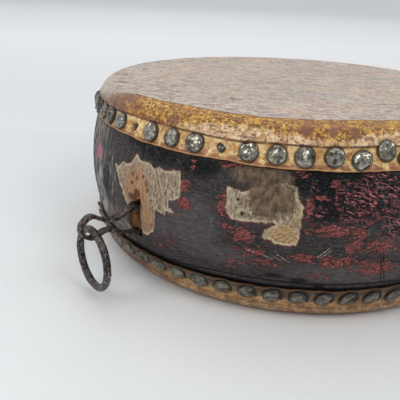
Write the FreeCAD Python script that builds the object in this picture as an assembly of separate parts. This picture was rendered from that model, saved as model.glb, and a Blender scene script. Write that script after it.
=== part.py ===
# A flat two-headed drum: a barrel shell of staves, two nailed hides and a carrying ring.
# Millimetres, Z up, origin on the drum's axis in the plane it stands on, ring toward -Y.
# Angles round the drum start at the pin (-Y) and grow toward +X.

import FreeCAD
import Part
import math
import os

os.makedirs("parts", exist_ok=True)

# shell
drum_height = 100.0
mid_radius = 131.5
mid_height = drum_height / 2.0
belly_radius = 113.0
wall = 11.0
stave_count = 19
stave_angle = 360.0 / stave_count
first_joint = 2.0

# hides
hide = 1.8
shoulder = 9.0
upper_edge = 81.5
lower_edge = 19.5
torn_hole = 4.6

# nails
nails_in_row = 63
nail_step = 360.0 / nails_in_row
upper_nail_z = 87.0
lower_nail_z = 14.0
upper_nail_head = 9.4
lower_nail_head = 9.0
nail_rise = 2.8
nail_shank = 2.2
nail_length = 11.0
nail_point = 2.5
hole_margin = 1.0
missing_nail = 0
tack_place = 4
# a row's first nail, and how far and how often its even spacing sways round the rim, degrees
upper_first = -1.2
upper_sway = 1.15
upper_sways = 4.0
upper_sway_nail = 6
lower_first = 1.5
lower_sway = 0.5
lower_sways = 3.0
lower_sway_nail = 7
# place in the upper row: degrees aside and millimetres above it
stray_nails = {8: (0.4, 0.8), 9: (0.7, -0.4), 10: (0.5, 3.8)}
tack_head = 4.8
tack_rise = 1.5
tack_shank = 1.6
# a nail this many degrees outside a stave can still cut its edge
stave_reach = 1.0

# split pin: (reach from the axis, height) of the strap's middle line, wall to eye
strap = 2.3
upper_leg_z = 44.6
lower_leg_z = 29.6
upper_line = [(139.5, 42.3), (148.0, 41.6), (153.4, 43.8), (159.0, 46.2), (163.1, 44.0)]
lower_line = [(139.5, 31.9), (148.5, 36.2), (153.4, 35.5), (158.0, 34.25), (162.7, 36.4)]
eye_tip = (164.5, 40.2)
neck_reach = 148.5
pin_half_width = 3.2
eye_half_width = 2.1
clinch_length = 14.0
clinch_bend = 2.4
clinch_gap = 0.15
leg_straight_past_wall = 1.0
taper_past_wall = 2.0
clinch_room = 12.0
eye_room = 6.0

# slot for the pin, open to the joint between two staves
slot_low_z = lower_leg_z - strap / 2.0
slot_high_z = 48.4
slot_left = 4.2
slot_right = 6.0
crush_depth = 1.6
crush_rise = 0.8

# ring, turned a little about the upright in the eye
ring_radius = 15.8
ring_bar = 4.2
ring_reach = 157.8
ring_top_z = 38.0
ring_turn = 7.0

ORIGIN = FreeCAD.Vector(0, 0, 0)
UP = FreeCAD.Vector(0, 0, 1)
profile_centre = mid_radius - belly_radius


def vec(r, z):
    return FreeCAD.Vector(r, 0.0, z)


def arc_point(radius, z):
    # a point of a circle about the centre of the barrel's profile
    dz = z - mid_height
    return vec(profile_centre + math.sqrt(radius * radius - dz * dz), z)


def shoulder_points(offset):
    # where the rounding over the rim starts on the flat top and ends on the side
    centre_z = drum_height - shoulder
    reach = belly_radius + hide - shoulder
    centre_r = profile_centre + math.sqrt(reach * reach - (centre_z - mid_height) ** 2)
    radius = shoulder - offset
    side = FreeCAD.Vector(centre_r - profile_centre, 0.0, centre_z - mid_height)
    side.normalize()
    half = side + FreeCAD.Vector(0.0, 0.0, 1.0)
    half.normalize()
    centre = vec(centre_r, centre_z)
    start = centre + FreeCAD.Vector(0.0, 0.0, radius)
    middle = centre + half * radius
    end = centre + side * radius
    return start, middle, end


def mirror_z(point):
    return FreeCAD.Vector(point.x, point.y, drum_height - point.z)


def arc(a, b, c):
    return Part.Arc(a, b, c).toShape()


def line(a, b):
    return Part.makeLine(a, b)


def revolved(edges, start, angle):
    face = Part.Face(Part.Wire(Part.__sortEdges__(edges)))
    turned = face.revolve(ORIGIN, UP, angle)
    turned.rotate(ORIGIN, UP, start - 90.0)
    return turned


def shell_profile():
    # one slice of the wall: rounded outer corners, parallel curves inside and outside
    top_start, top_middle, top_end = shoulder_points(hide)
    low_start = mirror_z(top_start)
    low_middle = mirror_z(top_middle)
    low_end = mirror_z(top_end)
    belly = vec(mid_radius, mid_height)
    hollow = vec(mid_radius - wall, mid_height)
    rim_z = drum_height - hide
    top_inner = arc_point(belly_radius - wall, rim_z)
    low_inner = mirror_z(top_inner)
    return [
        arc(low_end, belly, top_end),
        arc(top_end, top_middle, top_start),
        line(top_start, top_inner),
        arc(top_inner, hollow, low_inner),
        line(low_inner, low_start),
        arc(low_start, low_middle, low_end),
    ]


def head_profile(edge_z):
    # flat hide, rounded over the rim, then a skirt down the side of the shell
    outer_start, outer_middle, outer_end = shoulder_points(0.0)
    inner_start, inner_middle, inner_end = shoulder_points(hide)
    skirt_out = arc_point(belly_radius + hide, edge_z)
    skirt_in = arc_point(belly_radius, edge_z)
    between = (edge_z + outer_end.z) / 2.0
    return [
        line(vec(0.0, drum_height), outer_start),
        arc(outer_start, outer_middle, outer_end),
        arc(outer_end, arc_point(belly_radius + hide, between), skirt_out),
        line(skirt_out, skirt_in),
        arc(skirt_in, arc_point(belly_radius, between), inner_end),
        arc(inner_end, inner_middle, inner_start),
        line(inner_start, vec(0.0, drum_height - hide)),
        line(vec(0.0, drum_height - hide), vec(0.0, drum_height)),
    ]


def upper_place(k):
    # hand-set nails: the spacing opens and closes a little round the rim, and a few are astray
    turn = math.radians(360.0 * upper_sways * (k - upper_sway_nail) / nails_in_row)
    aside, above = stray_nails.get(k, (0.0, 0.0))
    angle = upper_first + nail_step * k + upper_sway * math.cos(turn) + aside
    return angle, upper_nail_z + above


def lower_place(k):
    turn = math.radians(360.0 * lower_sways * (k - lower_sway_nail) / nails_in_row)
    angle = lower_first + nail_step * k + lower_sway * math.cos(turn)
    return angle, lower_nail_z


def placed(shape, angle, z):
    # stand a nail, built along +X with its head's seat at the origin, on the hide
    lean = math.degrees(math.asin((z - mid_height) / (belly_radius + hide)))
    copy = shape.copy()
    copy.rotate(ORIGIN, FreeCAD.Vector(0, 1, 0), -lean)
    copy.translate(arc_point(belly_radius + hide, z))
    copy.rotate(ORIGIN, UP, angle - 90.0)
    return copy


def nail(head, rise, shank, length):
    # a head like the cap of a ball on a round shank with a conical point, pointing toward -X
    r = head / 2.0
    s = shank / 2.0
    ball = (r * r + rise * rise) / (2.0 * rise)
    half = math.asin(r / ball) / 2.0
    rim = FreeCAD.Vector(0.0, r, 0.0)
    crown = FreeCAD.Vector(rise, 0.0, 0.0)
    between = FreeCAD.Vector(rise - ball + ball * math.cos(half), ball * math.sin(half), 0.0)
    tip = FreeCAD.Vector(-length, 0.0, 0.0)
    taper = FreeCAD.Vector(nail_point - length, s, 0.0)
    neck = FreeCAD.Vector(0.0, s, 0.0)
    edges = [
        arc(rim, between, crown),
        line(crown, tip),
        line(tip, taper),
        line(taper, neck),
        line(neck, rim),
    ]
    face = Part.Face(Part.Wire(Part.__sortEdges__(edges)))
    return face.revolve(ORIGIN, FreeCAD.Vector(1, 0, 0), 360.0)


def nail_hole(shank, length):
    # the hole a shank has made, from outside the hide to the same conical bottom
    start = FreeCAD.Vector(nail_point - length, 0.0, 0.0)
    outward = FreeCAD.Vector(1.0, 0.0, 0.0)
    straight = Part.makeCylinder(shank / 2.0, length - nail_point + hole_margin, start, outward)
    tip = FreeCAD.Vector(-length, 0.0, 0.0)
    point = Part.makeCone(0.0, shank / 2.0, nail_point, tip, outward)
    return straight.fuse(point)


def nail_places():
    # (row, kind, angle, height) for every hole in the shell
    places = []
    for k in range(nails_in_row):
        kind = "nail"
        if k == missing_nail:
            kind = "missing"
        if k == tack_place:
            kind = "tack"
        places.append(("upper", kind) + upper_place(k))
        places.append(("lower", "nail") + lower_place(k))
    return places


def holes_in_stave(start):
    # the nail holes that fall in one stave, or near enough to its edges to cut it
    tools = []
    nail_tool = nail_hole(nail_shank, nail_length)
    tack_tool = nail_hole(tack_shank, nail_length)
    for place in nail_places():
        kind, angle, z = place[1:]
        turn = (angle - start + stave_reach) % 360.0
        if turn > stave_angle + 2.0 * stave_reach:
            continue
        tool = tack_tool if kind == "tack" else nail_tool
        tools.append(placed(tool, angle, z))
    return tools


def head_holes(wanted):
    # one hole through the hide for each nail of a row, torn wide where a nail has gone
    start = FreeCAD.Vector(-2.0 * hide, 0.0, 0.0)
    torn = Part.makeCylinder(torn_hole / 2.0, 4.0 * hide, start, FreeCAD.Vector(1, 0, 0))
    kinds = {
        "nail": nail_hole(nail_shank, nail_length),
        "tack": nail_hole(tack_shank, nail_length),
        "missing": torn,
    }
    tools = []
    for row, kind, angle, z in nail_places():
        if row == wanted:
            tools.append(placed(kinds[kind], angle, z))
    return tools


def pin_slot():
    # the rough hole the two legs go through, its lower edge pressed back where a leg bends over
    width = slot_left + slot_right
    depth = 3.0 * wall
    start = FreeCAD.Vector(-slot_left, -mid_radius - wall, slot_low_z)
    hole = Part.makeBox(width, depth, slot_high_z - slot_low_z, start)
    edge_reach = arc_point(belly_radius - wall, slot_low_z).x + crush_depth
    corner = FreeCAD.Vector(-slot_left, -edge_reach, slot_low_z - crush_rise)
    pressed = Part.makeBox(width, wall, crush_rise, corner)
    return [hole, pressed]


def build_stave(k):
    start = first_joint + (k - 1) * stave_angle
    body = revolved(shell_profile(), start, stave_angle)
    tools = holes_in_stave(start)
    if k == 0:
        tools.extend(pin_slot())
    return body.cut(tools)


def build_upper_head():
    body = revolved(head_profile(upper_edge), 0.0, 360.0)
    return body.cut(head_holes("upper"))


def build_lower_head():
    body = revolved(head_profile(drum_height - lower_edge), 0.0, 360.0)
    body = body.mirror(FreeCAD.Vector(0, 0, mid_height), UP)
    return body.cut(head_holes("lower"))


def build_nails(wanted, head):
    one = nail(head, nail_rise, nail_shank, nail_length)
    group = []
    for row, kind, angle, z in nail_places():
        if row == wanted and kind == "nail":
            group.append(placed(one, angle, z))
    return Part.makeCompound(group)


def build_tack():
    one = nail(tack_head, tack_rise, tack_shank, nail_length)
    angle, z = upper_place(tack_place)
    return placed(one, angle, z)


def rounded(before, corner, after, trim):
    # the arc that rounds a corner, starting and ending the trim distance from it
    u = before - corner
    u.normalize()
    v = after - corner
    v.normalize()
    middle_way = u + v
    middle_way.normalize()
    half = math.acos(u.dot(middle_way))
    radius = trim * math.tan(half)
    start = corner + u * trim
    middle = corner + middle_way * (trim / math.cos(half) - radius)
    end = corner + v * trim
    return start, middle, end


def pin_centreline(leg_z, points, side):
    # one half of the strap seen from the side: clinch, leg, neck and half the eye
    inside = belly_radius - wall - strap / 2.0 - clinch_gap

    def at(reach, z):
        return FreeCAD.Vector(0.0, -reach, z)

    def against_wall(z):
        return at(arc_point(inside, z).x, z)

    leg_start = at(mid_radius + leg_straight_past_wall, leg_z)
    corner = against_wall(leg_z)
    clinch_end = against_wall(leg_z + side * clinch_length)
    wall_side, bent, clinch = rounded(leg_start, corner, clinch_end, clinch_bend)
    bends = [leg_start] + [at(*point) for point in points] + [at(*eye_tip)]
    curve = Part.BSplineCurve()
    curve.interpolate(
        Points=bends,
        InitialTangent=FreeCAD.Vector(0, -1, 0),
        FinalTangent=FreeCAD.Vector(0, 0, -side),
    )
    return [
        line(clinch_end, clinch),
        arc(clinch, bent, wall_side),
        line(wall_side, leg_start),
        curve.toShape(),
    ]


def strap_solid(edges):
    # the centreline thickened into a flat strap, wide enough for the wall
    path = Part.Wire(edges)
    end = edges[0].valueAt(edges[0].FirstParameter)
    along = edges[0].tangentAt(edges[0].FirstParameter)
    across = FreeCAD.Vector(pin_half_width, 0.0, 0.0)
    thick = FreeCAD.Vector(1.0, 0.0, 0.0).cross(along) * (strap / 2.0)
    corners = [
        end - across - thick,
        end + across - thick,
        end + across + thick,
        end - across + thick,
    ]
    section = Part.makePolygon(corners + [corners[0]])
    sweep = Part.BRepOffsetAPI.MakePipeShell(path)
    sweep.setBiNormalMode(FreeCAD.Vector(1, 0, 0))
    sweep.add(section)
    sweep.build()
    sweep.makeSolid()
    return sweep.shape()


def pin_plan():
    # the strap's outline from above: wide at the wall, narrow round the eye
    wide = pin_half_width
    slim = eye_half_width
    back = mid_radius - wall - clinch_room
    front = eye_tip[0] + eye_room
    taper_start = mid_radius + taper_past_wall
    corners = [
        FreeCAD.Vector(-wide, -back, 0.0),
        FreeCAD.Vector(wide, -back, 0.0),
        FreeCAD.Vector(wide, -taper_start, 0.0),
        FreeCAD.Vector(slim, -neck_reach, 0.0),
        FreeCAD.Vector(slim, -front, 0.0),
        FreeCAD.Vector(-slim, -front, 0.0),
        FreeCAD.Vector(-slim, -neck_reach, 0.0),
        FreeCAD.Vector(-wide, -taper_start, 0.0),
    ]
    face = Part.Face(Part.makePolygon(corners + [corners[0]]))
    return face.extrude(FreeCAD.Vector(0, 0, drum_height))


def build_pin():
    upper = strap_solid(pin_centreline(upper_leg_z, upper_line, 1.0))
    lower = strap_solid(pin_centreline(lower_leg_z, lower_line, -1.0))
    both = upper.fuse(lower)
    return both.common(pin_plan()).removeSplitter()


def build_ring():
    centre = FreeCAD.Vector(0.0, -ring_reach, ring_top_z - ring_radius)
    turn = math.radians(ring_turn)
    through = FreeCAD.Vector(math.sin(turn), math.cos(turn), 0.0)
    return Part.makeTorus(ring_radius, ring_bar / 2.0, centre, through)


def save(shape, node):
    shape.exportStep("parts/" + node + ".step")


for k in range(stave_count):
    save(build_stave(k), "stave_%02d" % (k + 1))

save(build_upper_head(), "upper_head")
save(build_lower_head(), "lower_head")
save(build_nails("upper", upper_nail_head), "upper_nails")
save(build_nails("lower", lower_nail_head), "lower_nails")
save(build_tack(), "small_tack")
save(build_pin(), "split_pin")
save(build_ring(), "ring")
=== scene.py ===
import math

import bpy
import numpy as np
from mathutils import Matrix, Vector


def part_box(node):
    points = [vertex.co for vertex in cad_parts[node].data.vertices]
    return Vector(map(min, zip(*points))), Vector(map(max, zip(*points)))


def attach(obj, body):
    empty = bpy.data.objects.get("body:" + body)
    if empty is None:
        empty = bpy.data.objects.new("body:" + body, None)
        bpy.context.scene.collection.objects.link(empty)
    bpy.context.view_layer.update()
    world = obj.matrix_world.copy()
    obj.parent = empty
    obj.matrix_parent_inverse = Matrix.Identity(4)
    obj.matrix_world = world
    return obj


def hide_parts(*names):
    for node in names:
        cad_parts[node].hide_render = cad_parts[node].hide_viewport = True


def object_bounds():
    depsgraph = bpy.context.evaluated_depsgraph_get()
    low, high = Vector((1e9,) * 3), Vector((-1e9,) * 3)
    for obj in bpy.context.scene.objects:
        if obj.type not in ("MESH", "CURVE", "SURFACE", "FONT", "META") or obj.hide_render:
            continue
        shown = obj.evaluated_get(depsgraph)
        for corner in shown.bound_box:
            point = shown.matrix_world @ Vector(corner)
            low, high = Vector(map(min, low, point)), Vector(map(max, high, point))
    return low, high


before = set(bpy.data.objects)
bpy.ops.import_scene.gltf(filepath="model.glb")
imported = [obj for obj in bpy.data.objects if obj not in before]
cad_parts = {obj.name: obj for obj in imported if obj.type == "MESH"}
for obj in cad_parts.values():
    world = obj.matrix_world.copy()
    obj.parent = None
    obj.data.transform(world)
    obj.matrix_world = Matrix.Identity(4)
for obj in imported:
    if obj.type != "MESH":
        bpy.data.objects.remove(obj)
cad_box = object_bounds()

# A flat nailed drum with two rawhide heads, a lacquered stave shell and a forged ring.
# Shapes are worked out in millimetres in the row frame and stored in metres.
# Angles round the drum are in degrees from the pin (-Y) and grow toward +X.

MM = 0.001


def low(node):
    """The low corner of a CAD piece's box, mm."""
    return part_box(node)[0] / MM


def high(node):
    """The high corner of a CAD piece's box, mm."""
    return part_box(node)[1] / MM


# ---------------------------------------------------------------- sizes, mm

HEIGHT = high("upper_head").z
MIDDLE = HEIGHT / 2
MID_RADIUS = -low("stave_01").y
UPPER_EDGE = low("upper_head").z
LOWER_EDGE = high("lower_head").z
BELLY = 113.0  # radius of the barrel curve
CENTRE = MID_RADIUS - BELLY
HIDE = 1.8
SHOULDER = 9.0
WALL = 11.0
STAVES = 19
STAVE_ANGLE = 360 / STAVES
FIRST_JOINT = 2.0
SEAM_STAVE = 11  # the unrolled surface starts at this stave, at the back
ARC = math.radians(1) * MID_RADIUS  # one degree round the belly

NAILS = 63
NAIL_STEP = 360 / NAILS
UPPER_NAIL_Z = 87.0
LOWER_NAIL_Z = 14.0
UPPER_NAIL_HEAD = 9.4
LOWER_NAIL_HEAD = 9.0
NAIL_RISE = 3.3
NAIL_LENGTH = 11.0
NAIL_SHANK = 2.2
MISSING_NAIL = 0
TACK_PLACE = 4
STRAY_NAILS = {8: (0.4, 0.8), 9: (0.7, -0.4), 10: (0.5, 3.8)}
TACK_HEAD = 4.8
TORN_HOLE = 4.6

RING_RADIUS = 15.8
RING_BAR = 4.2
RING_TURN = 7.0
RING_CENTRE = Vector((0, -157.8, high("ring").z - RING_BAR / 2 - RING_RADIUS))


# ---------------------------------------------------------------- noise and masks


def corner(ix, iy, iz, seed):
    """A repeatable value from -1 to 1 for each whole-number corner."""
    mixed = (ix * 73856093) ^ (iy * 19349663) ^ (iz * 83492791) ^ (seed * 2654435)
    mixed = (mixed ^ (mixed >> 13)) * 1274126177
    return ((mixed ^ (mixed >> 16)) & 65535) / 32767.5 - 1


def noise(points, size, seed):
    """Smooth noise from -1 to 1, with features of that size in mm, one size or three."""
    place = points / np.asarray(size, float)
    cell = np.floor(place).astype(np.int64)
    part = place - cell
    part = part * part * (3 - 2 * part)
    total = np.zeros(len(points))
    for ax in (0, 1):
        wx = part[:, 0] if ax else 1 - part[:, 0]
        for ay in (0, 1):
            wy = part[:, 1] if ay else 1 - part[:, 1]
            for az in (0, 1):
                wz = part[:, 2] if az else 1 - part[:, 2]
                value = corner(cell[:, 0] + ax, cell[:, 1] + ay, cell[:, 2] + az, seed)
                total += wx * wy * wz * value
    return total


def layers(points, size, seed, count=3):
    """Noise with finer and weaker noise on top of it."""
    size = np.asarray(size, float)
    total = np.zeros(len(points))
    for level in range(count):
        total += noise(points, size / 2.1**level, seed + 7 * level) * 0.55**level
    return total


def smooth(value, start, end):
    """0 at start, 1 at end, eased between them."""
    t = np.clip((value - start) / (end - start), 0, 1)
    return t * t * (3 - 2 * t)


def turned(deg):
    """The same angle between -180 and 180 degrees."""
    return (deg + 180) % 360 - 180


def spots(deg, z, places):
    """The strongest of soft spots (degrees, height, half width in degrees, half height, strength)."""
    total = np.zeros(len(deg))
    for at, height, wide, tall, strength in places:
        away = (turned(deg - at) / wide) ** 2 + ((z - height) / tall) ** 2
        total = np.maximum(total, strength * np.exp(-away))
    return total


def within(deg, z, outline):
    """Distance in mm to a closed outline of (degrees, height), positive inside it."""
    x = turned(deg) * ARC
    nearest = np.full(len(x), 1e9)
    inside = np.zeros(len(x), bool)
    for (a_deg, ay), (b_deg, by) in zip(outline, outline[1:] + outline[:1]):
        ax, bx = a_deg * ARC, b_deg * ARC
        ex, ey = bx - ax, by - ay
        t = np.clip(((x - ax) * ex + (z - ay) * ey) / (ex * ex + ey * ey), 0, 1)
        nearest = np.minimum(nearest, (x - ax - t * ex) ** 2 + (z - ay - t * ey) ** 2)
        if ay != by:
            crosses = (ay <= z) != (by <= z)
            inside ^= crosses & (ax + (z - ay) / (by - ay) * ex > x)
    return np.where(inside, 1, -1) * np.sqrt(nearest)


# ---------------------------------------------------------------- meshes


def add_object(name, data):
    """A new object in the scene."""
    made = bpy.data.objects.new(name, data)
    bpy.context.scene.collection.objects.link(made)
    return made


def make_piece(name, points, faces, fields=None, sharp=40.0):
    """A mesh object from points in mm and lists of faces, with a value per point for each field."""
    mesh = bpy.data.meshes.new(name)
    sizes = np.concatenate([np.full(len(f), np.shape(f)[1]) for f in faces])
    corners = np.concatenate([np.asarray(f).ravel() for f in faces])
    starts = np.concatenate([[0], np.cumsum(sizes)[:-1]])
    mesh.vertices.add(len(points))
    mesh.vertices.foreach_set("co", (np.asarray(points) * MM).astype(np.float32).ravel())
    mesh.loops.add(len(corners))
    mesh.loops.foreach_set("vertex_index", corners.astype(np.int32))
    mesh.polygons.add(len(sizes))
    mesh.polygons.foreach_set("loop_start", starts.astype(np.int32))
    mesh.update(calc_edges=True)
    mesh.validate()
    mesh.polygons.foreach_set("use_smooth", np.ones(len(mesh.polygons), bool))
    mesh.set_sharp_from_angle(angle=math.radians(sharp))
    for field, values in (fields or {}).items():
        values = np.asarray(values, np.float32)
        if values.ndim == 2:
            layer = mesh.attributes.new(field, "FLOAT_VECTOR", "POINT")
            layer.data.foreach_set("vector", values.ravel())
        else:
            layer = mesh.attributes.new(field, "FLOAT", "POINT")
            layer.data.foreach_set("value", values)
    return add_object(name, mesh)


def grid_faces(index):
    """Four-cornered faces over a grid of point numbers."""
    a, b, c, d = index[:-1, :-1], index[:-1, 1:], index[1:, 1:], index[1:, :-1]
    return np.stack([a, b, c, d], -1).reshape(-1, 4)


def zip_rows(first, second):
    """Triangles between two rows of point numbers that may differ in length."""
    faces = []
    i = j = 0
    while i < len(first) - 1 or j < len(second) - 1:
        step_first = (i + 1) / (len(first) - 1) <= (j + 1) / (len(second) - 1)
        if j == len(second) - 1 or (step_first and i < len(first) - 1):
            faces.append((first[i], first[i + 1], second[j]))
            i += 1
        else:
            faces.append((first[i], second[j + 1], second[j]))
            j += 1
    return np.array(faces)


def barrel(z, radius):
    """Distance from the axis at height z of a barrel curve of that radius."""
    return CENTRE + np.sqrt(radius * radius - (z - MIDDLE) ** 2)


def shoulder_centre():
    """Reach and height of the middle of the upper shoulder's rounding."""
    z = HEIGHT - SHOULDER
    reach = BELLY + HIDE - SHOULDER
    return CENTRE + math.sqrt(reach**2 - (z - MIDDLE) ** 2), z


def round_the_axis(deg, r, z):
    """Points at those angles, reaches and heights."""
    angle = np.radians(deg)
    return np.stack([r * np.sin(angle), -r * np.cos(angle), z], -1)


# ---------------------------------------------------------------- where the hides end

# Wander of the cut edges: (degrees, mm above the even line).
UPPER_WANDER = [
    (-180, 0.5), (-150, -0.8), (-120, 0.9), (-80, -0.4), (-40, 0.9), (-13, 0.2), (-3, 0.5), (2, -0.4),
    (8, 0.3), (12, -0.1), (24, 0.6), (29, -0.2), (34, -0.1), (42, 0.3), (48, 0.2), (54, 0.6),
    (62, 1.0), (75, 0.2), (100, -0.6), (130, 1.0), (160, -0.5), (180, 0.5),
]
LOWER_WANDER = [
    (-180, 0.6), (-120, -0.5), (-60, 0.8), (-12, -0.8), (8, -0.9), (20, -0.4), (40, 0.3),
    (55, 0.6), (66, 1.7), (90, 0.3), (130, -0.6), (180, 0.6),
]
# Height of the ridge over the upper nails: (degrees, height).
RIDGE_HEIGHT = [
    (-180, 91.8), (-60, 91), (-11, 90.9), (-4, 91.7), (10, 91.6), (26, 91.0), (37, 91.6),
    (50, 92.3), (60, 92.8), (110, 91.6), (180, 91.8),
]
# The amber band starts this far past the edge of the flat skin, mm (negative: on the flat).
AMBER_START = [
    (-180, 1), (-60, 7), (-33, 12), (-20, 8), (-14, 3.5), (-8, 0), (0, -1.5), (8, -4),
    (31, -4.4), (38, -6.6), (46, -8.3), (56, -9.5), (70, -8), (110, -2), (180, 1),
]
# The amber turns to tan this far past the edge of the flat skin, mm.
TAN_START = [
    (-180, 8), (-60, 20), (8, 18), (13, 11), (18, 8.5), (26, 7.5), (34, 8), (40, 10.5),
    (49, 10.5), (53, 7), (60, 6.2), (100, 9), (140, 14), (180, 8),
]
LOW_TAN_START = 8.0


def listed(table, deg):
    """The value between two listed angles."""
    at, value = np.array(table, float).T
    return np.interp(turned(np.asarray(deg, float)), at, value)


# ---------------------------------------------------------------- shell of staves

# Outlines of the patches where the lacquer has flaked off, (degrees, height).
LEFT_PATCH = [
    (-9.1, 63.5), (-7.4, 62.7), (-5.3, 66.7), (-3.4, 66.1), (-1.4, 69.5), (-0.2, 73.6),
    (1.4, 71.2), (4.2, 72.0), (6.1, 68.7), (7.6, 71.3), (9.4, 70.2), (13.3, 72.2),
    (14.0, 66.0), (13.9, 58.7), (11.9, 55.9), (11.1, 56.0), (11.0, 52.1), (13.6, 49.2),
    (10.4, 49.4), (10.2, 46.9), (7.4, 47.7), (6.9, 39.6), (5.9, 33.7), (3.9, 29.6),
    (2.5, 30.2), (1.5, 33.0), (-0.5, 36.0), (-3.3, 43.2), (-6.3, 53.8), (-7.8, 58.8),
]
RIGHT_PATCH = [
    (24.4, 69.0), (25.3, 69.6), (26.5, 68.7), (28.2, 68.3), (30.5, 71.5), (33.0, 73.5),
    (36.9, 75.0), (39.1, 73.2), (39.5, 67.6), (40.6, 64.6), (40.5, 56.9), (40.6, 48.1),
    (39.7, 45.2), (37.6, 44.0), (35.2, 45.4), (32.9, 47.4), (33.4, 51.2), (35.4, 54.8),
    (34.8, 56.0), (32.8, 54.5), (29.7, 53.7), (26.1, 54.2), (25.1, 57.0), (24.7, 63.0),
]
FAR_PATCH = [
    (141, 60), (146, 64), (152, 63), (155, 66), (159, 60), (158, 51), (153, 47), (149, 41),
    (145, 43), (144, 52),
]
BACK_PATCH = [
    (-119, 42), (-115, 46), (-112, 45), (-109, 51), (-104, 48), (-105, 43), (-100, 39), (-103, 35),
    (-108, 37), (-112, 31), (-115, 37),
]
SIDE_PATCH = [(228, 70), (236, 74), (243, 71), (241, 62), (235, 60), (231, 64)]
CLEAR_PATCHES = [LEFT_PATCH, RIGHT_PATCH]
RAGGED_PATCHES = [FAR_PATCH, BACK_PATCH, SIDE_PATCH]

# Around the pin: the ragged hole above it, the slot of its lower leg, splintered wood between.
UPPER_HOLE = [
    (-1.3, 38.6), (-2.4, 41.0), (-2.2, 44.4), (-1.4, 46.2), (0.2, 47.6), (1.2, 49.6), (2.2, 50.4),
    (2.2, 39.4), (0.6, 40.2),
]
LOWER_SLOT = [(-1.9, 27.6), (-1.9, 30.6), (2.2, 31.4), (2.2, 27.6)]
SPLINTERS = [(-2.4, 31.0), (-2.6, 35.0), (-1.6, 39.4), (2.2, 40.6), (2.2, 31.0)]

# Soft spots: (degrees, height, half width in degrees, half height, strength).
ORANGE_WOOD = [(0.2, 55, 4.6, 13, 1.3), (4.8, 41, 2.4, 11, 1.1), (150, 55, 5, 12, 1.0)]
OILY_STAIN = [
    (33.4, 66, 4.2, 10, 1.5), (37.4, 66, 2.0, 8, 1.2), (31.8, 78, 4.8, 7.5, 1.5),
    (27.5, 76, 3, 4.5, 1.0), (37, 76, 2, 5, 0.8),
]
RED_WEAR = [
    (15.0, 66, 1.5, 5, 1.3), (15.2, 57, 1.8, 4, 1.6), (16.5, 77, 0.8, 4, 0.9),
    (24.0, 60, 1.2, 9, 1.2), (25, 50, 2, 3, 0.9), (28.8, 47, 3.2, 4.5, 1.3), (31, 39, 5, 4, 0.9),
    (41.6, 64, 1.2, 7, 1.2), (42.5, 54, 1.8, 5, 0.9), (25, 80, 3.5, 3, 1.0), (40, 80, 2, 3, 0.9),
    (47, 54, 5, 3.5, 1.25), (52, 53, 4, 4, 1.1), (52, 46, 2.5, 7, 1.15), (41.5, 39, 3, 3, 1.3),
    (34, 34, 5, 3, 0.95), (49, 37, 7, 4, 1.15), (58, 33, 6, 6, 1.1), (58, 46, 6, 6, 1.0),
    (45, 29, 5, 3, 0.8),
    (47, 75, 1.5, 3, 1.2), (44, 69, 2, 2, 1.0), (10, 33, 10, 8, 0.55), (7, 27, 3, 4, 0.8),
    (20, 50, 5, 8, 0.35), (27, 31, 5, 4, 0.7), (54, 62, 7, 6, 0.9),
    (85, 55, 14, 16, 0.9), (120, 40, 16, 12, 0.95), (165, 58, 12, 14, 1.0),
    (205, 45, 14, 14, 0.9), (250, 60, 16, 12, 0.95), (290, 45, 10, 14, 0.8),
]
CRAZED = [
    (53, 68, 10, 13, 1.0), (46, 74, 6, 5, 0.6), (56, 78, 6, 5, 0.8), (48, 60, 7, 6, 0.6),
    (20, 72, 4, 8, 0.35), (64, 60, 9, 14, 0.9), (110, 66, 16, 12, 0.8),
    (190, 68, 16, 12, 0.8), (232, 52, 14, 12, 0.6), (275, 66, 12, 10, 0.7),
]
# Where the lacquer is worn matt, and where painted sheen lies on it as a plum-grey colour.
DULLED_AND_SHEEN = [(17, 46, 7, 18, 1.2), (9, 40, 6, 12, 0.8), (25, 34, 9, 8, 0.8), (52, 30, 18, 8, 0.95),
          (100, 50, 10, 16, 0.8), (60, 46, 7, 10, 0.7),
          (215, 50, 12, 18, 0.9), (320, 55, 8, 16, 0.8)]
OCHRE = [(37.5, 49, 3.6, 7, 1.2), (40, 60, 1.2, 10, 0.7), (150, 46, 5, 7, 1.0)]
BLACKEST = [
    (46, 76, 10, 8, 1.2), (45, 65, 5, 9, 1.1), (20, 77, 5, 5, 0.8), (17, 76, 7, 7, 0.8),
    (0, 79, 6, 3, 0.7), (8, 77, 8, 5, 0.9), (60, 75, 8, 7, 0.7), (150, 76, 20, 8, 0.8),
    (250, 74, 20, 8, 0.8),
]
# Brown stains on the bare wood round the pin.
WOOD_STAIN = [
    (0.6, 52.5, 1.2, 2.6, 1.5), (-0.6, 49.4, 1.4, 2.2, 1.4), (-2.0, 49, 1.6, 3.0, 0.9),
    (-1.4, 62, 1.2, 2.2, 0.8), (4.0, 60, 1.1, 2.6, 1.0), (3.2, 68, 2.2, 2.0, 0.5),
    (5.6, 37, 1.0, 4, 0.7), (2.4, 45, 0.9, 5, 0.7),
]
BARE_GREY = [
    (-20, 45, 9, 28, 1.3), (-28, 60, 12, 26, 1.2), (-12, 56, 4, 16, 0.75), (-22, 75, 6.5, 12, 1.2),
]
RUBBED = [(-8, 29, 8, 8.5, 1.4)]
SHADE = [
    (-13.3, 49, 2.8, 12, 1.3), (-9.5, 40, 1.6, 7, 0.9), (-12, 67, 3, 5, 0.7), (-28, 44, 2.5, 14, 0.7),
]
PALE = [(-18, 31, 3.4, 8, 1.1), (-19, 52, 2.2, 9, 0.8)]
PINK = [(-21, 62.5, 4.2, 5, 1.1), (-25, 57, 2, 3, 0.6)]
DRIPS = [(46, 22, 1.6, 2, 1.2), (41.5, 25, 2.2, 1.8, 1.5), (36, 26.5, 2.4, 1.7, 1.5)]
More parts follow.
